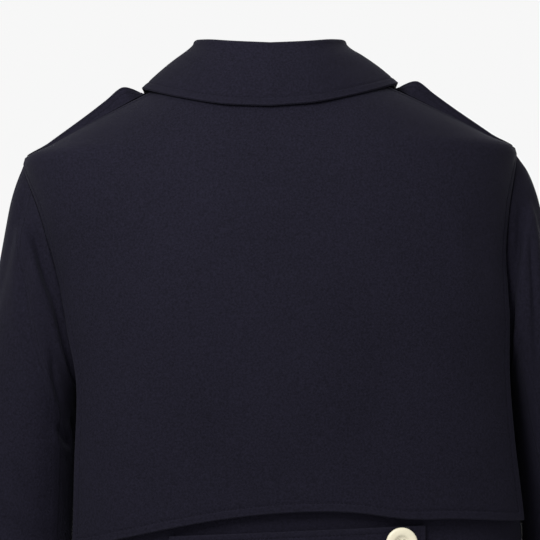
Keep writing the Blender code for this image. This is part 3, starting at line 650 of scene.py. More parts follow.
def signed_volume(mesh):
    mesh.calc_loop_triangles()
    points = np.zeros(len(mesh.vertices) * 3)
    mesh.vertices.foreach_get("co", points)
    corners = np.zeros(len(mesh.loop_triangles) * 3, np.int32)
    mesh.loop_triangles.foreach_get("vertices", corners)
    tri = points.reshape(-1, 3)[corners.reshape(-1, 3)]
    return np.einsum("ij,ij->i", tri[:, 0], np.cross(tri[:, 1], tri[:, 2])).sum()


def area_of(face):
    """A lattice's area in square metres."""
    first = face[1:, :-1] - face[:-1, :-1]
    second = face[:-1, 1:] - face[:-1, :-1]
    third = face[1:, 1:] - face[1:, :-1]
    area = 0.5 * np.linalg.norm(np.cross(first, second), axis=2).sum()
    area += 0.5 * np.linalg.norm(np.cross(first, third), axis=2).sum()
    return area * MM * MM


def make_panel(node, face, normals, wall, paths, from_row=0, pitch=STITCH_PITCH):
    """Makes a node's cloth and its stitches and hides the node's own part; the width, length and area
    of its flat cut are worked out but not used further. The width is measured from a row on,
    where the rows before it climb a curved edge and aren't level."""
    extra = [stitches(f"{node}_stitches", paths, pitch)]
    piece = shell(f"{node}_cloth", face, normals, wall, navy)
    chords = np.linalg.norm(face[:, -1] - face[:, 0], axis=1).max() * MM
    width = max(along_rows(face)[from_row:, -1].max() * MM, chords)
    length = along_columns(face)[-1].max() * MM
    area = min(area_of(face), width * length)
    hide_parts(node)


def line_on(face, normals, rows, columns):
    """Points and normals along a path given in fractional lattice places."""
    rows = np.clip(rows, 0, face.shape[0] - 1.001)
    columns = np.clip(columns, 0, face.shape[1] - 1.001)
    return between(face, rows, columns), unit(between(normals, rows, columns))


def line_across(face, normals, rows, start=0, stop=None):
    """The path through every column from start to stop, at the given row places."""
    columns = np.arange(len(rows), dtype=float)
    return line_on(face, normals, rows[start:stop], columns[start:stop])


def line_down(face, normals, columns, start=0, stop=None):
    """The path through every row from start to stop, at the given column places."""
    rows = np.arange(len(columns), dtype=float)
    return line_on(face, normals, rows[start:stop], columns[start:stop])


def places_from(lines, distance):
    """Fractional places at a distance from the start, one for each line of distances."""
    return np.array([np.interp(distance, line, np.arange(len(line))) for line in lines])


def places_back(lines, distance):
    """The same, at a distance from each line's end."""
    return lines.shape[1] - 1 - places_from((lines[:, -1:] - lines)[:, ::-1], distance)


def stitches(name, paths, pitch):
    """Thread along paths on the cloth: each stitch is a small spindle sunk at its ends."""
    points = []
    faces = []
    sides = STITCH_SIDES
    for path, normal in paths:
        length = length_along(path)
        at = (np.arange(int(length[-1] / pitch)) + 0.5) * pitch
        up = unit(read_at(at, length, normal))
        way = read_at(at + 0.6, length, path) - read_at(at - 0.6, length, path)
        way = unit(way + 1e-9)
        across = unit(np.cross(up, way))
        for c, n, w, s in zip(read_at(at, length, path), up, way, across):
            base = len(points)
            points.append(c - w * STITCH_LENGTH * 0.5 - n * STITCH_SINK)
            for place, size in ((-0.36, 0.8), (0.0, 1.0), (0.36, 0.8)):
                middle = c + w * STITCH_LENGTH * place + n * (STITCH_LIFT * size)
                points += ring_of(middle, s, n, STITCH_RADIUS * size, sides)
            points.append(c + w * STITCH_LENGTH * 0.5 - n * STITCH_SINK)
            faces += tube_sides(base + 1, 3, sides)
            top = base + 1 + 2 * sides
            for q in range(sides):
                r = (q + 1) % sides
                faces.append((base, base + 1 + r, base + 1 + q))
                faces.append((top + q, top + r, top + sides))
    return add_piece(name, points, faces, thread)


# ---------------------------------------------------------------- materials


def material_with(name, sockets):
    """A new material's node tree and its shader, with plain values on its sockets."""
    material = bpy.data.materials.new(name)
    material.use_nodes = True
    shader = material.node_tree.nodes["Principled BSDF"]
    for socket, value in sockets.items():
        shader.inputs[socket].default_value = value
    return material, material.node_tree, shader


def fill(tree, sockets, sources):
    """Sets each socket to a plain value, or links it where its source is a socket."""
    for socket, source in zip(sockets, sources):
        if isinstance(source, bpy.types.NodeSocket):
            tree.links.new(source, socket)
        else:
            socket.default_value = source


def math_node(tree, operation, *sources):
    node = tree.nodes.new("ShaderNodeMath")
    node.operation = operation
    fill(tree, node.inputs, sources)
    return node.outputs[0]


def noise_node(tree, place, scale, detail):
    node = tree.nodes.new("ShaderNodeTexNoise")
    fill(tree, [node.inputs[name] for name in ("Vector", "Scale", "Detail")], (place, scale, detail))
    return node.outputs["Fac"]


def mix_node(tree, factor, first, second):
    node = tree.nodes.new("ShaderNodeMix")
    node.data_type = "RGBA"
    fill(tree, [node.inputs[name] for name in ("Factor", "A", "B")], (factor, first, second))
    return node.outputs["Result"]


def shade_of(colour, amount):
    return [c * amount for c in colour] + [1.0]


def navy_material(name, colour, light):
    """Matt cloth: a fine weave, an uneven grain, slow clouds, and a painted highlight that makes the
    edges slightly lighter.
    """
    sockets = {"Roughness": 0.88, "Specular IOR Level": 0.05, "Sheen Weight": 0.013}
    sockets |= {"Sheen Roughness": 0.4, "Sheen Tint": (0.75, 0.78, 1.0, 1.0)}
    material, tree, shader = material_with(name, sockets)
    where = tree.nodes.new("ShaderNodeTexCoord")
    split = tree.nodes.new("ShaderNodeSeparateXYZ")
    tree.links.new(where.outputs["UV"], split.inputs[0])
    waves = []
    for axis in (0, 1):
        turns = math_node(tree, "MULTIPLY", split.outputs[axis], 2 * math.pi / WEAVE)
        waves.append(math_node(tree, "SINE", turns))
    weave = math_node(tree, "MULTIPLY", *waves)
    grain = noise_node(tree, where.outputs["Object"], 620.0, 2.0)
    cloud = noise_node(tree, where.outputs["Object"], 11.0, 3.0)
    most = math_node(tree, "MULTIPLY", grain, 0.82)
    both = math_node(tree, "MULTIPLY_ADD", cloud, 0.18, most)
    total = math_node(tree, "MULTIPLY_ADD", weave, 0.10, both)
    cloth = mix_node(tree, total, shade_of(colour, 0.15), shade_of(colour, 1.85))
    # Painted highlight: the colour is mixed a little towards the lighter colour along the edges
    edge = tree.nodes.new("ShaderNodeAttribute")
    edge.attribute_name = "edge"
    share = math_node(tree, "MULTIPLY", edge.outputs["Fac"], 0.16)
    rim_highlight = mix_node(tree, share, cloth, [*light, 1.0])
    tree.links.new(rim_highlight, shader.inputs["Base Color"])
    bump = tree.nodes.new("ShaderNodeBump")
    height = math_node(tree, "MULTIPLY_ADD", weave, 0.4, grain)
    fill(tree, [bump.inputs[n] for n in ("Strength", "Distance", "Height")], (0.6, 0.00025, height))
    tree.links.new(bump.outputs["Normal"], shader.inputs["Normal"])
    return material


def plain_material(name, colour, roughness, specular):
    sockets = {"Roughness": roughness, "Specular IOR Level": specular}
    material, tree, shader = material_with(name, sockets)
    where = tree.nodes.new("ShaderNodeTexCoord")
    noise = noise_node(tree, where.outputs["Object"], 160.0, 4.0)
    shade = mix_node(tree, noise, shade_of(colour, 0.9), shade_of(colour, 1.06))
    tree.links.new(shade, shader.inputs["Base Color"])
    return material


# The cloth's colour, then the lighter colour of its painted highlight along the edges
navy = navy_material("navy_cloth", (0.0052, 0.00475, 0.0090), (0.0120, 0.0115, 0.0175))
thread = plain_material("navy_thread", (0.0046, 0.0042, 0.0078), 0.8, 0.06)
cream = plain_material("cream_button", (0.49, 0.455, 0.345), 0.42, 0.35)
cream_thread = plain_material("cream_thread", (0.42, 0.385, 0.30), 0.8, 0.2)
# The buttons' holes get dark plugs: painted shade for the inside of the holes
dark = plain_material("button_hole_shade", (0.012, 0.011, 0.010), 0.9, 0.1)


# ---------------------------------------------------------------- body panels


def armhole_depth(share, widest):
    share = np.asarray(share, float)
    inside = (share > 0.0) & (share < 1.0)
    low = np.clip(share / 0.36, 0.0, 1.0)
    high = np.clip((1.0 - share) / 0.34, 0.0, 1.0)
    round_low = np.sqrt(np.maximum(1 - (1 - low) ** 2.3, 0.0))
    round_high = np.maximum(1 - (1 - high) ** 2.4, 0.0) ** 0.8
    return np.where(inside, widest * round_low * round_high, 0.0)


def armhole_share(level):
    return (level - UNDERARM) / (SHOULDER - UNDERARM)


def side_cut(half, level):
    widest = ARMHOLE_BACK if half == "back" else ARMHOLE_FRONT
    return SEAM_CLOSED + armhole_depth(armhole_share(np.asarray(level, float)), widest)


def near_edge(count, near, total):
    """Distances from 0 to a total, with given ones near 0 and even steps after them."""
    near = np.array(near, float)
    rest = np.linspace(near[-1], total, count)[1:]
    return np.concatenate([near, rest])


def body_levels(step):
    """Levels from the hem up, closer at the hem and where the armhole begins."""
    low = HEM + np.array(HEM_STEPS)
    mid = np.arange(low[-1] + step, UNDERARM - 3, step)
    turn = UNDERARM + np.array([-1.5, -0.2, 0.15, 0.6, 1.4, 2.6, 4.2, 6.4, 9.2])
    high = np.arange(UNDERARM + 9.2 + step * 0.8, SHOULDER - 4, step * 0.8)
    top = SHOULDER + np.array([-3.0, -1.6, -0.7, -0.2, 0.15, 1.0, 2.4, 4.2])
    yoke = np.arange(SHOULDER + 5.5, NECK, 1.9)
    return np.concatenate([low, mid, turn, high, top, yoke, [NECK]])


def panel_lattice(half, levels, start, stop, places, table, seed, lift=None):
    """A body panel's outer lattice, its normals and its heights above the hem."""
    along = start[:, None] + (stop - start)[:, None] * places[None, :]
    share = along / skin.length(half, levels)[:, None]
    grid = np.broadcast_to(levels[:, None], along.shape)
    out = lift(along, grid) if lift else 0.0
    base, normal = skin.at(half, grid, share, out)
    x = base[..., 0]
    z = base[..., 2]
    hem = grid - HEM
    moved = creased(x, z, table) + drift(x, z, seed, 120, 0.8) + hemmed(hem, BODY_HEM_STITCH)
    edge = np.minimum(along - start[:, None], stop[:, None] - along)
    moved *= smooth(edge / 14) * smooth((NECK - grid) / 10)
    face = base + normal * moved[..., None]
    return face, lattice_normals(face, normal), hem


def shares_across(total, count, fine=SIDE_STEPS):
    """Places from 0 to 1 across a panel about this wide, finer near both edges."""
    ends = np.array(fine) / total
    middle = np.linspace(ends[-1], 1 - ends[-1], count)[1:-1]
    return np.concatenate([ends, middle, 1 - ends[::-1]])


def make_back():
    levels = body_levels(5.0)
    cut = side_cut("back", levels)
    stop = skin.length("back", levels) - cut
    places = shares_across(500, 110)
    face, normals, hem = panel_lattice("back", levels, cut, stop, places, BACK_CREASES, 3)
    paths = [line_across(face, normals, places_from(hem.T, BODY_HEM_STITCH))]
    make_panel("back", face, normals, WALL, paths)


def lapped(along, grid):
    """How far the right front is lifted where it lies over the left one."""
    past = along - skin.length("front", grid) / 2 - LAP
    return LAP_LIFT * (1 - smooth((past - LAP_CLEAR) / LAP_FADE))


def make_fronts():
    levels = body_levels(4.4)
    places = shares_across(285, 84, EDGE_STEPS)
    cut = side_cut("front", levels)
    whole = skin.length("front", levels)
    for name, start, stop, seed, lift in (
        ("front_left", cut, whole / 2 + LAP, 5, None),
        ("front_right", whole / 2 - LAP, whole - cut, 7, lapped),
    ):
        face, normals, hem = panel_lattice(
            "front", levels, start, stop, places, FRONT_CREASES, seed, lift
        )
        across = along_rows(face)
        if name == "front_left":
            line = places_back(across, HEM_STITCH)
            across = across[:, -1:] - across
        else:
            line = places_from(across, HEM_STITCH)
        face = face + normals * hemmed(across, HEM_STITCH)[..., None]
        normals = lattice_normals(face, normals)
        paths = [
            line_across(face, normals, places_from(hem.T, BODY_HEM_STITCH)),
            line_down(face, normals, line, 3, -2),
        ]
        make_panel(name, face, normals, WALL, paths)


def flap_edge(level):
    """The flap's edge: on the armhole seam where it is sewn, straight down where free."""
    row = flap_rows.at(level)
    sewn = side_cut("back", level) + FLAP_SEAM_INSET
    free = np.where(armhole_share(level) >= FLAP_SEWN_TO, sewn, np.maximum(row.inset, sewn))
    return np.where(level > SHOULDER + 0.01, row.inset, free)


def flap_knots():
    """The flap's edge at the frame's own levels, for a smooth line through them."""
    arm = [UNDERARM + t * (SHOULDER - UNDERARM) for t in ARMHOLE_STEPS]
    skirt = list(np.linspace(HEM, UNDERARM, 11)[:-1])
    yoke = [-51.5, -45.5, -39.5, -34, -28.5, -23, -18.5, -14, -11]
    levels = [-400.0, *[s for s in skirt if -400 < s], *arm, *yoke, FLAP_TOP]
    levels = np.array(sorted(levels))
    return Rows("level edge", np.stack([levels, flap_edge(levels)], axis=1))


def flap_hem(across):
    dip = FLAP_DIP * np.exp(-(((across - FLAP_DIP_PLACE) / FLAP_DIP_REACH) ** 2))
    across = across + FLAP_HEM_SHIFT * (1 - across * across)
    arch = FLAP_HEM_RISE * np.maximum(1 - across * across, 0) ** FLAP_HEM_POWER
    return FLAP_SIDE_HEM + arch - dip


def make_flap():
    shares = shares_across(420, 128, EDGE_STEPS)
    total = FLAP_TOP - FLAP_SIDE_HEM - FLAP_HEM_RISE / 2
    rise = near_edge(132, EDGE_STEPS, total)
    hem = flap_hem(2 * shares - 1)
    grid = hem[None, :] + (FLAP_TOP - hem[None, :]) * (rise / total)[:, None]
    length = skin.length("back", grid)
    edge = flap_knots().at(grid).edge
    along = edge + (length - 2 * edge) * shares[None, :]
    size = flap_rows.at(grid)
    off = size.off_middle + (size.off_side - size.off_middle) * (2 * shares[None, :] - 1) ** 4
    base, normal = skin.at("back", grid, along / length, off + WALL)
    x = base[..., 0]
    z = base[..., 2]
    across = along_rows(base)
    near_side = from_sides(across)
    near_hem = along_columns(base)
    moved = creased(x, z, FLAP_CREASES) + drift(x, z, 11, 150, 0.9)
    moved *= smooth(near_side / 24) * smooth((FLAP_TOP - grid) / 16)
    moved += hemmed(np.minimum(near_side, near_hem), HEM_STITCH, 0.32, 0.8, 1.8)
    face = base + normal * moved[..., None]
    normals = lattice_normals(face, normal)
    rows = places_from(near_hem.T, HEM_STITCH)
    start = int(rows.min())
    paths = [
        line_across(face, normals, rows, 9, -9),
        line_down(face, normals, places_from(across, HEM_STITCH), start, -2),
        line_down(face, normals, places_back(across, HEM_STITCH), start, -2),
    ]
    make_panel("storm_flap", face, normals, WALL, paths)


# ---------------------------------------------------------------- sleeves

AROUND = 2 * (len(ARMHOLE_STEPS) - 1)
SLEEVE_RINGS = np.concatenate(
    [
        np.linspace(0, 0.5, 6)[:-1],
        np.arange(0.5, 5, 0.125),
        np.arange(5, 13.4, 0.09),
        13.4 + CUFF_STEPS,
        [13.965, 13.985, 14.0],
    ]
)


def armhole_ring(side, columns):
    """The armhole's points where the sleeve's columns meet it, moved just inside the hole,
    and the body's normals there."""
    steps = np.interp(columns, np.arange(AROUND + 1), ring_steps())
    t = 1 - np.abs(1 - steps)
    level = UNDERARM + t * (SHOULDER - UNDERARM)
    points = np.zeros((len(columns), 3))
    normals = np.zeros((len(columns), 3))
    for half, chosen in (("back", steps <= 1), ("front", steps > 1)):
        open_here = (t > 0) & (t < 1)
        cut = np.where(open_here, side_cut(half, level), 0.0)
        share = cut / skin.length(half, level)
        if side == "right":
            share = 1 - share
        spot, normal = skin.at(half, level, share)
        points[chosen] = spot[chosen]
        normals[chosen] = normal[chosen]
    return points, normals


def ring_steps():
    """How far up the armhole each column of the frame's sleeve starts: 0 at the underarm,
    1 at the shoulder point, 2 back at the underarm."""
    steps = np.array(ARMHOLE_STEPS)
    return np.concatenate([steps, 2 - steps[-2::-1]])


def sleeve_angles(side, ring, row, columns):
    """The angle of each column round the sleeve, from the outer point over the back."""
    back_seam, front_steps = SLEEVE_SEAMS[side]
    marks = (back_seam - AROUND, -front_steps, back_seam, AROUND - front_steps, AROUND + back_seam)
    turns = (row.back_seam + 360, 360 - row.front_seam)
    turns += (row.back_seam, -row.front_seam, row.back_seam - 360)
    settled = np.interp(columns, marks, np.array(turns, float))
    top = len(ARMHOLE_STEPS) - 1
    steps = ring_steps()
    start = np.degrees(np.arccos(np.clip(2 * (1 - np.abs(1 - steps)) - 1, -1, 1)))
    start = np.where(np.arange(len(steps)) > top, -start, start)
    knots = Rows("column angle", np.stack([np.arange(AROUND + 1), start], axis=1))
    fade = smooth(min(ring / 4.5, 1.0))
    return knots.at(columns).angle * (1 - fade) + settled * fade


def seam_to_seam(first, last, count):
    """A sleeve panel's columns from one seam to the other, closer beside both."""
    middle = np.linspace(first + 1, last - 1, count)
    return np.concatenate([first + SEAM_STEPS, middle, (last - SEAM_STEPS)[::-1]])


def sleeve_start(side, columns):
    """Where the sleeve's columns leave the armhole, and the body's normals there."""
    every = np.concatenate([np.arange(0, AROUND, 0.125), [AROUND]])
    ring, _ = armhole_ring(side, every)
    start, normals = armhole_ring(side, columns)
    along = read_at(columns, every, np.gradient(ring, axis=0))
    inward = unit(np.cross(normals, along))
    if ((ring.mean(axis=0) - start) * inward).sum() < 0:
        inward = -inward
    steps = np.interp(columns, np.arange(AROUND + 1), ring_steps())
    beside_flap = smooth((steps - 0.5) / 0.12) * smooth((1.12 - steps) / 0.12)
    start = start + inward * ARMHOLE_GAP + normals * (FLAP_RISE * beside_flap)[:, None]
    return start, normals


def sleeve_lattice(side, columns, start):
    """A sleeve panel's points, their angles round it and the ways out from its middle."""
    rows = [shared + own for shared, own in zip(SLEEVE_SHARED, SLEEVE_SIDES[side])]
    table = Rows(SLEEVE_COLUMNS, rows)
    first = table.at(0.0)
    pull = start - section(first, sleeve_angles(side, 0.0, first, columns))
    grid = np.zeros((len(SLEEVE_RINGS), len(columns), 3))
    turn = np.zeros(grid.shape[:2])
    centres = np.zeros((len(SLEEVE_RINGS), 1, 3))
    for n, ring in enumerate(SLEEVE_RINGS):
        row = table.at(ring)
        turn[n] = sleeve_angles(side, ring, row, columns)
        grid[n] = section(row, turn[n]) + pull * row.hold
        centres[n] = section(row, np.arange(-180, 180, 15.0)).mean(axis=0)
    outward = unit(grid - centres)
    turn = (turn + 180) % 360 - 180
    place = np.broadcast_to(SLEEVE_RINGS[:, None], turn.shape)
    for row in SLEEVE_FOLDS[side]:
        fold = named(FOLD_COLUMNS, row)
        away = (turn - fold.angle + 180) % 360 - 180
        near = (away / fold.half_angle) ** 2 + ((place - fold.ring) / fold.half_rings) ** 2
        grid = grid - outward * (fold.depth * np.exp(-near) * smooth(place / 0.5))[..., None]
    return grid, turn, place, outward


def make_sleeve(side):
    back_seam, front_steps = SLEEVE_SEAMS[side]
    front_seam = AROUND - front_steps
    for name, columns in (
        ("upper", seam_to_seam(back_seam, front_seam, 58)),
        ("under", seam_to_seam(front_seam, AROUND + back_seam, 44)),
    ):
        columns = np.where(columns > AROUND, columns - AROUND, columns)
        start, start_normals = sleeve_start(side, columns)
        grid, turn, place, outward = sleeve_lattice(side, columns, start)
        normals = lattice_normals(grid, outward)
        normals[0] = unit(normals[0] + start_normals)
        moved = drift(grid[..., 0] + grid[..., 1], grid[..., 2], 23, 130, 1.0)
        for shift in (-360, 0, 360):
            moved += creased(turn + shift, place, SLEEVE_CREASES[side], 1.1, 44.0)
        across = along_rows(grid)
        down = along_columns(grid)
        cuff = down[-1:] - down
        moved *= smooth(place / 0.6) * smooth(cuff / 15)
        moved += hemmed(cuff, BODY_HEM_STITCH)
        if name == "upper":
            moved += hemmed(across, SLEEVE_STITCH, HEM_RISE, 0.0) * smooth(place / 0.5)
        face = narrowed(grid + normals * moved[..., None], SEAM_CLOSED)
        normals = lattice_normals(face, outward)
        normals[0] = unit(normals[0] + start_normals)
        paths = [line_across(face, normals, places_back(down.T, BODY_HEM_STITCH))]
        if name == "upper":
            paths.append(line_down(face, normals, places_from(across, SLEEVE_STITCH), 5))
        make_panel(f"sleeve_{name}_{side}", face, normals, WALL, paths, 30)


def section(row, angles):
    inner = np.array([row.inner_x, row.mid_y, row.inner_z])
    outer = np.array([row.outer_x, row.mid_y, row.outer_z])
    pitch = math.radians(row.pitch)
    depth = np.array([0.0, math.cos(pitch), -math.sin(pitch)]) * row.half_depth
    cos, sin = superellipse(np.radians(angles), 1.0, 1.0, SLEEVE_SQUARE)
    return (inner + outer) / 2 + np.outer(cos, (outer - inner) / 2) + np.outer(sin, depth)


def narrowed(lattice, gap):
    moved = lattice.copy()
    for end, near in ((0, 1), (-1, -2)):
        along = unit(np.gradient(lattice[:, end], axis=0))
        across = lattice[:, near] - lattice[:, end]
        across = unit(across - along * (across * along).sum(axis=1, keepdims=True))
        moved[:, end] = lattice[:, end] + across * gap
    return moved


# ---------------------------------------------------------------- collar


def collar_profile(turn):
    """The collar's section at a turn from its middle back: up the stand, over the roll and
    down the fall."""
    row = collar_rows.at(turn)
    neck = body_rows.at(NECK)
    depth = neck.back_depth if turn <= 90 else neck.front_depth
    end_z = NECK if turn <= 90 else neck.front_z
    x, y = superellipse(math.radians(90 - turn), neck.half_width, depth, neck.square)
    z = neck.side_z + (end_z - neck.side_z) * (y / depth) ** 2
    seam = np.array([x, y, z + 2 * SEAM]) - unit(np.array([x, y, 0.0])) * COLLAR_INSET
    roll = np.array([row.roll_x, row.roll_y, row.roll_z])
    edge = np.array([row.edge_x, row.edge_y, row.edge_z])
    away = unit((edge - seam) * np.array([1.0, 1.0, 0.0]))
    up = np.array([0.0, 0.0, 1.0])
    stand_top = roll - (away + up) * COLLAR_ROLL
    profile = [seam, seam + (stand_top - seam) * 0.5 + away * 0.6, stand_top]
    for out, rise in ((-0.75, -0.3), (0.0, 0.0), (0.85, -0.35), (1.3, -1.3)):
        profile.append(roll + (away * out + up * rise) * COLLAR_ROLL)
    fall_top = profile[-1]
    bulge = (away + up) * 0.7 * row.belly
    for share in (0.3, 0.62, 1.0):
        swell = bulge * math.sin(math.pi * share)
        profile.append(fall_top + (edge - fall_top) * share + swell)
    return np.array(profile)


def collar_section(turn, roll):
    """The section's fine points and how far each tilts with the neck."""
    points = collar_profile(turn)
    length = length_along(points)
    stand, ridge, fall, edge = length[[2, 4, 6, -1]]
    near = edge - np.array([s for s in EDGE_STEPS if s < 0.8 * (edge - fall)])[::-1]
    spans = ((0, stand, 9), (stand, fall, 13), (fall, near[0], 20))
    places = [np.linspace(low, high, count)[:-1] for low, high, count in spans]
    places = np.concatenate([*places, near])
    at = Rows("at x y z", np.column_stack([length, points])).at(places)
    tilt = np.interp(places, (0, ridge, edge), (roll, 0.0, roll))
    return np.stack([at.x, at.y, at.z, tilt], axis=1)


def make_collar():
    ends = COLLAR_TIP - np.array(EDGE_STEPS) * TURN_PER_STEP
    turns = np.concatenate([np.linspace(0, ends[-1], 76)[:-1], ends[::-1]])
    roll = body_rows.at(NECK).roll
    half = np.array([collar_section(turn, roll) for turn in turns])
    face = np.concatenate([half[:0:-1] * np.array([-1, 1, 1, 1]), half])
    tilt = face[..., 3]
    face = face[..., :3]
    face[..., 2] -= face[..., 0] * np.tan(np.radians(tilt))
    normals = unit(np.cross(np.gradient(face, axis=0), np.gradient(face, axis=1)))
    normals *= np.sign(normals[len(face) // 2, -1, 1])
    across = along_rows(face)
    around = along_columns(face)
    from_edge = across[:, -1:] - across
    ends = np.maximum(from_ends(around), 25 * (from_edge > 44))
    moved = drift(around, from_edge, 31, 90, 0.6)
    moved *= smooth(from_edge / 10) * smooth((70 - from_edge) / 20)
    moved += hemmed(np.minimum(from_edge, ends), HEM_STITCH, HEM_RISE, 0.8, 1.8)
    face = face + normals * moved[..., None]
    normals = lattice_normals(face, normals)
    around = along_columns(face)
    edge_line = places_back(across, HEM_STITCH)
    low = face.shape[1] - 1 - int(np.median(places_from(from_edge[[5, -5]][:, ::-1], 40)))
    high = int(edge_line.mean()) + 1
    paths = [
        line_down(face, normals, edge_line, 9, -9),
        line_across(face, normals, places_from(around.T, HEM_STITCH), low, high),
        line_across(face, normals, places_back(around.T, HEM_STITCH), low, high),
    ]
    make_panel("collar", face, normals, COLLAR_WALL, paths)


# ---------------------------------------------------------------- straps, belt


def strap_place(side, level, along, out):
    found = np.zeros(np.shape(along) + (3,))
    directions = np.zeros_like(found)
    for half, chosen in (("back", along >= 0), ("front", along < 0)):
        share = np.abs(along) / skin.length(half, level)
        if side == "right":
            share = 1 - share
        spot, normal = skin.at(half, level, share, out)
        found[chosen] = spot[chosen]
        directions[chosen] = normal[chosen]
    return found, directions


def strap_ridge(row):
    return row.back_edge - STRAP_FOOT - STRAP_LEAN * (row.off_back - STRAP_REST)


def strap_lines(row, reach):
    """Across the strap from its back edge on the shoulder, over a rounded ridge and down
    to its front edge: the outer line's distances behind the seam and above the cloth."""
    foot = (row.back_edge - DOUBLE_WALL, min(STRAP_REST, row.off_back))
    corners = np.array([foot, (strap_ridge(row), row.off_back), (-row.front_edge, row.off_front)])
    steps = np.diff(corners, axis=0)
    facing = unit(np.stack([steps[:, 1], -steps[:, 0]], axis=1))
    mitre = np.stack([facing[0], facing[0] + facing[1], facing[1]])
    mitre /= (mitre * facing[[0, 1, 1]]).sum(axis=1, keepdims=True)
    outer = corners + mitre * (DOUBLE_WALL - 0.15)
    bend = min(2.6, 0.45 * length_along(outer)[1])
    start = outer[1] + unit(outer[0] - outer[1]) * bend
    end = outer[1] + unit(outer[2] - outer[1]) * bend
    turn = np.linspace(0, 1, 9)[:, None]
    curve = start * (1 - turn) ** 2 + outer[1] * 2 * turn * (1 - turn) + end * turn**2
    line = np.concatenate([outer[:1], curve, outer[2:]])
    length = length_along(line)
    ridge = length[5]
    past_ridge = ridge + (reach * 2 - 1) * (length[-1] - ridge)
    at = np.where(reach <= 0.5, reach * 2 * ridge, past_ridge)
    return read_at(at, length, line), at - ridge


def make_strap(side):
    levels = np.concatenate([np.linspace(-55.5, -24.6, 60), np.linspace(-24.6, -19.8, 22)[1:]])
    down = np.concatenate([near_edge(8, STRIP_STEPS[:6], 8.4)[:-1], np.linspace(8.4, 16, 14)])
    up = near_edge(16, STRIP_STEPS, 38.0)
    reach = np.concatenate([down / 32.0, 1 - 0.5 * up[::-1] / 38.0])
    base = np.zeros((len(levels), len(reach), 3))
    from_ridge = np.zeros(base.shape[:2])
    for n, level in enumerate(levels):
        line, from_ridge[n] = strap_lines(strap_rows.at(level), reach)
        base[n], _ = strap_place(side, np.full(len(reach), level), line[:, 0], line[:, 1])
    normals = lattice_normals(base, np.array([0.0, 0.0, 1.0]))
    across = along_rows(base)
    ends = along_columns(base)
    moved = strip_hem(np.minimum(across[:, -1:] - across, ends[-1:] - ends)) - 0.1
    for line in STRAP_ROWS:
        moved += groove(from_ridge + line, *STRIP_GROOVE) * smooth((across - 1.2) / 1.5)
    face = base + normals * moved[..., None]
    normals = lattice_normals(face, normals)
    paths = [
        line_down(face, normals, places_back(across, STRIP_STITCH), 3, -8),
        line_across(face, normals, places_back(ends.T, STRIP_STITCH), 22, -10),
    ]
    places = np.arange(len(levels), dtype=float)
    for line in STRAP_ROWS:
        column = places_from(from_ridge, -line)
        chosen = (-from_ridge[:, 0] > line + 1.4) & (places > 3) & (places < len(places) - 6)
        paths.append(line_on(face, normals, places[chosen], column[chosen]))
    wall = DOUBLE_WALL - 0.3
    make_panel(f"epaulette_{side}", face, normals, wall, paths, pitch=STRAP_PITCH)


def belt_level(x):
    middle = (BELT_LEFT + BELT_RIGHT) / 2
    return BELT_MIDDLE + (x - middle) * math.tan(math.radians(BELT_TILT))


def share_at(half, level, x):
    shares = np.linspace(0, 1, 400)
    spots, _ = skin.at(half, np.full(400, level), shares)
    return float(np.interp(-x, -spots[:, 0], shares))


def make_belt():
    xs = BELT_LEFT + (BELT_RIGHT - BELT_LEFT) * shares_across(214, 74, STRIP_STEPS)
    rises = shares_across(BELT_HEIGHT, 9, STRIP_STEPS) - 0.5
    base = np.zeros((len(rises), len(xs), 3))
    normal = np.zeros_like(base)
    for k, x in enumerate(xs):
        levels = belt_level(x) + rises * BELT_HEIGHT
        shares = np.array([share_at("back", level, x) for level in levels])
        base[:, k], normal[:, k] = skin.at("back", levels, shares, BELT_LIFT + DOUBLE_WALL)
    across = along_rows(base)
    ups = along_columns(base)
    moved = strip_hem(np.minimum(from_sides(across), from_ends(ups)))
    moved += drift(base[..., 0], base[..., 2], 41, 70, 0.5)
    face = base + normal * moved[..., None]
    normals = lattice_normals(face, normal)
    paths = []
    for found in (places_from, places_back):
        paths.append(line_across(face, normals, found(ups.T, STRIP_STITCH), 8, -8))
        paths.append(line_down(face, normals, found(across, STRIP_STITCH), 8, -8))
    make_panel("half_belt", face, normals, DOUBLE_WALL - 0.2, paths)


make_back()
make_fronts()
make_flap()
make_collar()
for side in ("left", "right"):
    make_sleeve(side)
    make_strap(side)
make_belt()


# ---------------------------------------------------------------- buttons

# Shares of the radius and of the height, from the sunk middle over the rim to the back
BUTTON_PROFILE = (
    *((0.0, 0.50), (0.10, 0.50), (0.24, 0.50), (0.33, 0.515), (0.39, 0.56), (0.44, 0.66)),
    *((0.48, 0.80), (0.53, 0.92), (0.59, 0.985), (0.67, 1.0), (0.80, 0.995), (0.89, 0.95)),
    *((0.94, 0.86), (0.975, 0.74), (0.995, 0.60), (1.0, 0.48), (0.99, 0.34), (0.965, 0.20)),
    *((0.93, 0.08), (0.90, 0.0), (0.0, 0.0)),
)
BUTTON_TURNS = 72
HOLE_SIZE = 0.040
HOLE_SPREAD = 0.084
HOLE_SECTIONS = ((0.02, 1.25), (0.10, 1.0), (-0.10, 0.86), (-0.35, 0.8))
HOLE_TURNS = 20
YARN_SHIFTS = (-0.34, 0.0, 0.34)
YARN_RADIUS = 0.24
BAR_RADIUS = 0.26
BAR_PITCH = 0.5
CORNERS = ((-1, -1), (1, -1), (1, 1), (-1, 1))
ONE, TWO, THREE = np.eye(3)


def turned_body(diameter, height):
    """The button's profile turned round its axis and closed at both middles."""
    points = []
    for x, z in BUTTON_PROFILE[1:-1]:
        points += ring_of(THREE * z * height, ONE, TWO, x * diameter / 2, BUTTON_TURNS)
    points += [THREE * BUTTON_PROFILE[0][1] * height, THREE * 0.0]
    rings = len(BUTTON_PROFILE) - 2
    last = (rings - 1) * BUTTON_TURNS
    top = last + BUTTON_TURNS
    faces = tube_sides(0, rings, BUTTON_TURNS)
    for q in range(BUTTON_TURNS):
        r = (q + 1) % BUTTON_TURNS
        faces.append((top, r, q))
        faces.append((top + 1, last + q, last + r))
    return points, faces


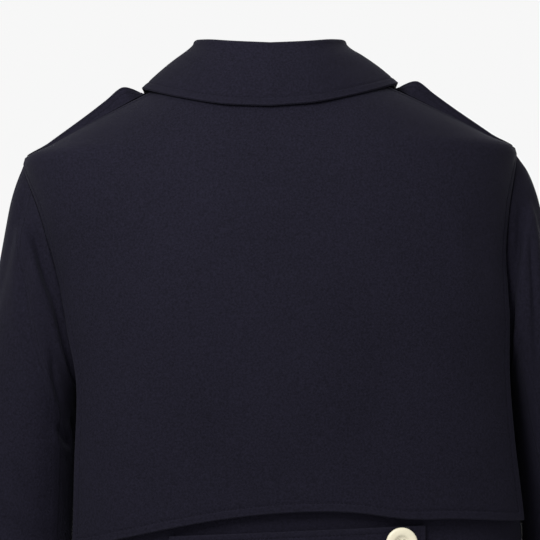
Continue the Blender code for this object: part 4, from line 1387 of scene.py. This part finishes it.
def dark_holes(spread, size, floor_z):
    """Four short dark plugs, sunk in the button's middle and a little wider at the top: painted shade
    standing in for the shade inside the holes.
    """
    points = []
    faces = []
    for sx, sy in CORNERS:
        faces += closed_tube(len(points), len(HOLE_SECTIONS), HOLE_TURNS)
        for z, share in HOLE_SECTIONS:
            middle = np.array([sx * spread, sy * spread, floor_z + z])
            points += ring_of(middle, ONE, TWO, size * share, HOLE_TURNS)
    return points, faces


def crossed_thread(spread, floor_z):
    """Three threads from hole to hole each way, the second three over the first."""
    points = []
    faces = []
    for sx, lift in ((-1, 0.45), (1, 0.75)):
        start = np.array([sx * spread, -spread, floor_z])
        reach = np.array([-2 * sx * spread, 2 * spread, 0.0])
        flank = unit(np.cross(THREE, reach))
        for shift in YARN_SHIFTS:
            faces += closed_tube(len(points), 9, 6)
            for t in np.linspace(0, 1, 9):
                rise = lift * math.sin(math.pi * t) ** 0.6 - 0.1
                middle = start + reach * t + flank * shift + THREE * rise
                points += ring_of(middle, flank, THREE, YARN_RADIUS, 6)
    return points, faces


def make_button(name, spot, normal, up, diameter, height):
    """A turned button with a raised rim, a sunk middle with four dark holes, and its
    thread through them, each made round the button's own axes."""
    side_way = unit(np.cross(up, normal))
    axes = np.array([side_way, np.cross(normal, side_way), normal])
    floor_z = BUTTON_PROFILE[0][1] * height
    spread = HOLE_SPREAD * diameter
    for ending, (points, faces), material in (
        ("_body", turned_body(diameter, height), cream),
        ("_holes", dark_holes(spread, HOLE_SIZE * diameter, floor_z), dark),
        ("_thread", crossed_thread(spread, floor_z), cream_thread),
    ):
        placed = spot + np.array(points) @ axes
        piece = add_piece(name + ending, placed, faces, material)
        if ending == "_body":
            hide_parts(name)


def slit(name, spot, way, normal, length, start):
    """A worked buttonhole: close thread stitches round a narrow slit, of which only the part
    past a button's edge is made."""
    across = unit(np.cross(normal, way))
    bars = []
    for along in np.arange(start, length, BAR_PITCH):
        for flank in (-across, across):
            bars.append((spot + way * along, flank, 0.25))
    for turn in np.radians(np.arange(-90, 91, 30)):
        bars.append((spot + way * length, way * math.cos(turn) + across * math.sin(turn), 0.3))
    points = []
    faces = []
    for middle, reach, inner in bars:
        a = middle + reach * inner + normal * 0.16
        b = middle + reach * 1.5 + normal * 0.05
        axis = unit(b - a)
        one = unit(np.cross(axis, normal))
        two = np.cross(axis, one)
        faces += closed_tube(len(points), 3, 5)
        for t, size in ((0.0, 0.7), (0.5, 1.0), (1.0, 0.7)):
            points += ring_of(a + (b - a) * t, one, two, BAR_RADIUS * size, 5)
    return add_piece(name, points, faces, thread)


def make_buttons():
    heights = skin.at("front", skin.levels, np.full(len(skin.levels), 0.5))[0][:, 2]
    for number, height in enumerate(FRONT_BUTTONS, start=1):
        level = np.interp(height, heights, skin.levels)
        spot, normal = skin.at("front", level, 0.5, LAP_LIFT + 2 * SEAM)
        name = f"front_button_{number}"
        make_button(name, spot, normal, (0, 0, 1), BUTTON_DIAMETER, BUTTON_HEIGHT)
        beside, facing = skin.at("front", level, 0.5, LAP_LIFT + 0.12)
        way = unit(np.cross(facing, THREE))
        past = BUTTON_DIAMETER / 2 + SLIT_PAST_BUTTON
        slit(name + "_hole", beside, way, facing, SLIT_LENGTH, past)
    level = belt_level(BELT_BUTTON_X) + BELT_BUTTON_RISE
    share = share_at("back", level, BELT_BUTTON_X)
    spot, normal = skin.at("back", level, share, BELT_LIFT + DOUBLE_WALL + 2 * SEAM)
    make_button("half_belt_button", spot, normal, (0, 0, 1), BUTTON_DIAMETER, BUTTON_HEIGHT)
    for side in ("left", "right"):
        row = strap_rows.at(STRAP_BUTTON_LEVEL)
        next_row = strap_rows.at(STRAP_BUTTON_LEVEL - 4)
        middle = (strap_ridge(row) - row.front_edge) / 2
        off = (row.off_back + row.off_front) / 2
        next_off = (next_row.off_back + next_row.off_front) / 2

        def spot_of(level, along, out):
            found, _ = strap_place(side, np.array([level]), np.array([along]), np.array([out]))
            return found[0]

        across = spot_of(row.level, strap_ridge(row), row.off_back)
        across = across - spot_of(row.level, -row.front_edge, row.off_front)
        along = spot_of(row.level, middle, off) - spot_of(next_row.level, middle, next_off)
        normal = np.cross(across, along)
        normal *= math.copysign(1 / np.linalg.norm(normal), normal[2])
        spot = spot_of(row.level, middle, off + DOUBLE_WALL + SEAM) + normal * SEAM
        name = f"epaulette_button_{side}"
        make_button(name, spot, normal, (0, 1, 0), STRAP_BUTTON_DIAMETER, STRAP_BUTTON_HEIGHT)


make_buttons()


# ---------------------------------------------------------------- floor, light, camera

FLOOR_HALF = 1.6
FLOOR_LEVEL = -0.80
CAMERA_PLACE = (0.0, 5.03, -0.1632)
HALF_VIEW = 229.5
VIEW_DISTANCE = 5000.0


def studio():
    floor_mesh = bpy.data.meshes.new("floor")
    corners = [(x * FLOOR_HALF, y * FLOOR_HALF, FLOOR_LEVEL) for x, y in CORNERS]
    floor_mesh.from_pydata(corners, [], [(0, 1, 2, 3)])
    floor = bpy.data.objects.new("floor", floor_mesh)
    bpy.context.scene.collection.objects.link(floor)
    grey = {"Base Color": (0.8, 0.8, 0.8, 1.0), "Roughness": 0.9}
    material, _, _ = material_with("pale_floor", grey)
    floor_mesh.materials.append(material)
    world = bpy.data.worlds.new("studio")
    bpy.context.scene.world = world
    world.use_nodes = True
    background = world.node_tree.nodes["Background"]
    background.inputs["Color"].default_value = (0.93, 0.93, 0.93, 1.0)
    background.inputs["Strength"].default_value = 1.0
    for name, spot, aim, power, size in (
        ("key", (0.36, 0.80, 0.42), (0.03, 0, -0.1), 18.5, 0.6),
        ("front_fill", (-0.3, -1.9, -0.25), (0, 0, -0.35), 34.0, 1.2),
    ):
        light = bpy.data.lights.new(name, "AREA")
        light.energy = power
        light.size = size
        lamp = bpy.data.objects.new(name, light)
        lamp.location = spot
        lamp.rotation_euler = (Vector(aim) - Vector(spot)).to_track_quat("-Z", "Y").to_euler()
        bpy.context.scene.collection.objects.link(lamp)
    camera_data = bpy.data.cameras.new("camera")
    camera = bpy.data.objects.new("camera", camera_data)
    camera.location = CAMERA_PLACE
    camera.rotation_euler = (math.radians(90), 0.0, math.radians(180))
    camera_data.angle = 2 * math.atan(HALF_VIEW / VIEW_DISTANCE)
    bpy.context.scene.collection.objects.link(camera)
    bpy.context.scene.camera = camera
    bpy.context.scene.view_settings.view_transform = "Standard"


studio()
